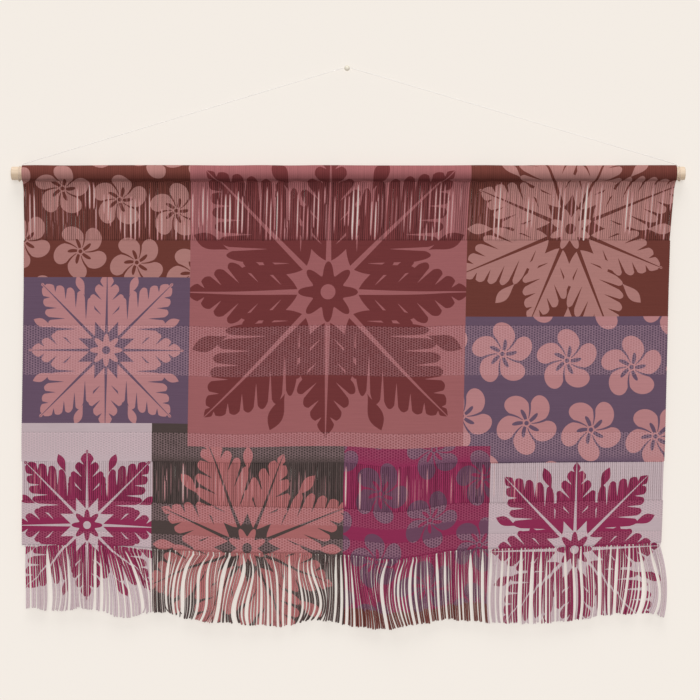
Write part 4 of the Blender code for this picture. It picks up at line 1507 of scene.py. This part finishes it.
def yarn_finish(name, twist, streaks, streak_rate, flank_shade, pale_and_lit, strength):
    """The printed yarn: the print, streaked along the yarn, over fibres that wind round it once
    in each twist. streaks is how strong the streaks are and streak_rate how many come to the
    metre, flank_shade how much painted shade darkens the flanks, pale_and_lit how pale the pale
    fibres are and the undyed flanks beside openings with their painted light, and strength how
    light the print is. All of it shows most where the print is dark."""
    finish = Finish(name, {"Roughness": 0.85, "Specular IOR Level": 0.12})
    around, run, _ = finish.parts(finish.node("UVMap", {"uv_map": "yarn"}))
    winding = ((around * 2 + run / twist) * FULL_TURN).wave()
    tone = finish.attribute("tone", 2)
    place = finish.node("CombineXYZ", inputs={0: around * 9, 1: run * streak_rate + tone * 40,
                                              2: tone})
    fibre = finish.noise(place, 1.0)
    behind = ((around * FULL_TURN).sine() * 2).held()
    colour = printed(finish, behind)
    contrast = finish.contrast(colour, 2.4)
    side = (around * FULL_TURN).cosine()
    flank = abs(side) ** 3
    facing = finish.attribute("bare", 2)
    turned = ((side * facing - abs(facing) * BARE_STARTS) * 2.8).held()
    bare = turned * (contrast * 0.8 + 0.2)
    # flank_shade is painted shade on both flanks of the yarn.
    marks = tone * 0.12 + (fibre - 0.5) * streaks + (winding - 0.5) * 0.03 - flank * flank_shade
    pale = (((fibre - 0.55) * 3).held() * 0.07 * contrast + bare) * pale_and_lit
    shown = finish.mix(pale, finish.scaled(colour, strength + marks * contrast), BARE_LIT_FLANK)
    finish.shows(shown, winding * 0.4 + fibre * 0.6, YARN_RELIEF)
    return finish.material


warp_material = yarn_finish("warp_thread", twist=YARN_TWIST, streaks=0.38, streak_rate=70.0,
                            flank_shade=0.75, pale_and_lit=0.85, strength=1.01)
fringe_material = yarn_finish("fringe_yarn", twist=YARN_TWIST * 1.4, streaks=0.45,
                              streak_rate=22.0, flank_shade=1.15, pale_and_lit=0.24, strength=1.16)
print("yarn material nodes", len(fringe_material.node_tree.nodes))

# %% [markdown]
# The rod is pale turned softwood, sanded and without varnish but smooth from handling: long
# grain along it, with fine dark pores. The cord and the pin throw no shadow on the backdrop,
# because the even light on the real ones leaves none to be seen.

# %% Wood, pin and cord
FINE_RELIEF = 0.2 * MM
WOOD_STOPS = ((0.30, (0.56, 0.41, 0.27, 1.0)), (0.52, (0.69, 0.53, 0.38, 1.0)),
              (0.72, (0.77, 0.62, 0.47, 1.0)))
WOOD_PORES = (0.42, 0.27, 0.15, 1.0)
# The pin head is pale in the middle, with painted shade towards the rim.
PIN_LIT_MIDDLE = (0.84, 0.78, 0.66, 1.0)
PIN_SHADED_RIM = (0.70, 0.65, 0.54, 1.0)
PIN_RIM_RADIUS = 4.0 * MM
COTTON_DARK = (0.96, 0.92, 0.87, 1.0)
COTTON_LIGHT = (0.99, 0.95, 0.91, 1.0)
# Painted shade, tinted by the wood's bounce light, where the cord is wound on the rod.
COTTON_ROD_SHADE = (0.72, 0.56, 0.42, 1.0)


def wood_finish():
    """Pale wood: bands of grain from a noise stretched along the rod, and fine dark pores."""
    finish = Finish("pale_wood", {"Roughness": 0.5, "Specular IOR Level": 0.6,
                                  "Coat Weight": 0.35, "Coat Roughness": 0.42})
    place = finish.node("TexCoord", output=3)
    grain = finish.stretched(place, (4.0, 90.0, 90.0), 4.0, 0.6)
    pores = finish.stretched(place, (60.0, 900.0, 900.0))
    rings = finish.node("ValToRGB", {"stops": WOOD_STOPS}, {0: grain})
    dark = ((pores - 0.55) * 4).held() * 0.22
    finish.put(finish.surface.inputs["Roughness"], grain * 0.2 + 0.42)
    finish.shows(finish.mix(dark, rings, WOOD_PORES), grain * 0.5 + pores * 0.5, FINE_RELIEF)
    return finish.material


def pin_finish():
    """Satin paint on a turned pin, pale at the middle of its head and darker towards the rim, as
    painted shade of the rounded head, with the faint orange-peel of a dipped coat."""
    finish = Finish("satin_paint", {"Roughness": 0.42, "Specular IOR Level": 0.5,
                                    "Coat Weight": 0.2, "Coat Roughness": 0.3})
    place = finish.node("TexCoord", output=3)
    peel = finish.noise(place, 900.0)
    x, _, z = finish.parts(place)
    rim = ((x * x + z * z) ** 0.5 / PIN_RIM_RADIUS).held()
    finish.shows(finish.mix(rim, PIN_LIT_MIDDLE, PIN_SHADED_RIM), peel, FINE_RELIEF, 0.5)
    return finish.material


def cord_finish():
    """Undyed twisted cotton: near white, with painted shade in the grooves between its plies, and
    painted shade tinted by the wood's bounce light where it is wound on the rod."""
    finish = Finish("undyed_cord", {"Roughness": 0.85, "Specular IOR Level": 0.2,
                                    "Sheen Weight": 0.2})
    around, run, _ = finish.parts(finish.node("UVMap", {"uv_map": "yarn"}))
    groove = (around * (PLIES * FULL_TURN)).cosine() * 0.5 + 0.5
    fibre = finish.noise(finish.node("CombineXYZ", inputs={0: around * 14, 1: run * 900}), 1.0)
    shade = 0.98 + groove * 0.05 + (fibre - 0.5) * 0.06
    _, _, height = finish.parts(finish.node("TexCoord", output=3))
    # Painted shade, wood-tinted, where the cord is wound on the rod.
    wound = ((ROD_HEIGHT + 1.25 * ROD_RADIUS - height) / (0.4 * ROD_RADIUS)).held() * 0.85
    cotton = finish.mix(fibre, COTTON_DARK, COTTON_LIGHT)
    shown = finish.scaled(finish.mix(wound, cotton, COTTON_ROD_SHADE), shade)
    finish.shows(shown, fibre, FINE_RELIEF)
    return finish.material


def wear(piece, material):
    """Give a piece one material in place of any that it has."""
    piece.data.materials.clear()
    piece.data.materials.append(material)


CLOTH_PIECES = (main_panel, hem_panel, rod_pocket)
THREAD_PIECES = (upper_warp, lower_warp, selvedges, pocket_welt)
CORD_PIECES = (cord, cord_knots)
for pieces, material in ((CLOTH_PIECES, cloth_material), (THREAD_PIECES, warp_material),
                         ((fringe_yarns,), fringe_material), (CORD_PIECES, cord_finish()),
                         ((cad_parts["rod"],), wood_finish()),
                         ((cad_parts["wall_pin"],), pin_finish())):
    for piece in pieces:
        wear(piece, material)
for piece in (*CORD_PIECES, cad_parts["wall_pin"]):
    piece.visible_shadow = False
print("materials", [material.name for material in bpy.data.materials if material.users])

# %% [markdown]
# Nothing here moves, so every new piece is put under one body. The frame's cloth, fringe and
# cord are hidden, as the new pieces stand in their place.

# %% One body, and the frame's pieces hidden
for pieces, slot in ((CLOTH_PIECES + THREAD_PIECES, "printed_cloth"),
                     ((fringe_yarns,), "fringe_yarn"), (CORD_PIECES, "cord")):
    for piece in pieces:
        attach(piece, "root")
for piece in (*CLOTH_PIECES, upper_warp, lower_warp):
    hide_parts("cloth")
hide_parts("fringe")
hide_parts("hanging_cord")

# %% [markdown]
# The stage is a pale backdrop that takes the soft shadows, a pale floor far below, a large soft
# light from above the camera with a weaker one higher up, and an even pale surround. The
# backdrop lets rays from behind it pass, so that views of the back aren't blocked.

# %% Backdrop, floor and light
BACKDROP_COLOUR = (0.896, 0.839, 0.776, 1.0)
BACKDROP_GLOW = 0.52
BACKDROP_HALF = 4.0
BACKDROP_DEPTH = 0.8 * MM
FLOOR_HEIGHT = -1.75
LIGHTS = (
    # towards it across, towards it in front, towards it up, width (degrees), share on the front
    (0.06, -1.0, 0.15, 30, 0.40),
    (0.00, -1.0, 2.00, 34, 0.22),
)
SURROUND = 0.40
SURROUND_COLOUR = (1.0, 0.98, 0.96, 1.0)


def plane(name, corners, material):
    """A flat four-cornered stage piece."""
    made = new_object(name, corners, [np.array([[0, 1, 2, 3]])])
    made.data.shade_flat()
    wear(made, material)
    return made


def backdrop_finish():
    """Matt paint in front that glows a little, so that shadows on it stay faint, and nothing at
    all from behind."""
    paint = tuple(part * (1 - BACKDROP_GLOW) for part in BACKDROP_COLOUR[:3]) + (1.0,)
    finish = Finish("backdrop_paint", {"Base Color": paint, "Roughness": 0.95,
                                       "Specular IOR Level": 0.0,
                                       "Emission Color": BACKDROP_COLOUR,
                                       "Emission Strength": BACKDROP_GLOW})
    clear = finish.node("BsdfTransparent")
    behind = finish.node("NewGeometry", output="Backfacing")
    both = finish.node("MixShader", inputs={0: behind, 1: Signal(finish, finish.surface.outputs[0]),
                                            2: clear})
    finish.put(finish.nodes["Material Output"].inputs["Surface"], both)
    return finish.material


def make_light(name, towards, width, share):
    """A far soft light. Its strength is such that a matt white front that faces the camera
    would be as bright as its share says."""
    lamp = bpy.data.lights.new(name, "SUN")
    towards = Vector(towards).normalized()
    lamp.angle = math.radians(width)
    lamp.energy = share * math.pi / -towards.y
    light = bpy.data.objects.new(name, lamp)
    light.rotation_mode = "QUATERNION"
    light.rotation_quaternion = towards.to_track_quat("Z", "Y")
    bpy.context.scene.collection.objects.link(light)


def make_stage():
    """The backdrop, the floor, the soft lights and the surround."""
    size = BACKDROP_HALF
    square = ((-size, -size), (size, -size), (size, size), (-size, size))
    backdrop = plane("backdrop", [(x, BACKDROP_DEPTH, z) for x, z in square], backdrop_finish())
    backdrop.visible_transmission = False
    backdrop.visible_shadow = False
    floor_paint = Finish("floor_paint", {"Base Color": BACKDROP_COLOUR, "Roughness": 0.9})
    floor = plane("floor", [(x, y, FLOOR_HEIGHT) for x, y in square], floor_paint.material)
    floor.visible_diffuse = False
    for number, (across, front, up, width, share) in enumerate(LIGHTS):
        make_light("soft_light_%d" % number, (across, front, up), width, share)
    world = bpy.data.worlds.new("surround")
    world.use_nodes = True
    background = world.node_tree.nodes["Background"].inputs
    background["Color"].default_value = SURROUND_COLOUR
    background["Strength"].default_value = SURROUND
    bpy.context.scene.world = world


make_stage()
print("stage made")
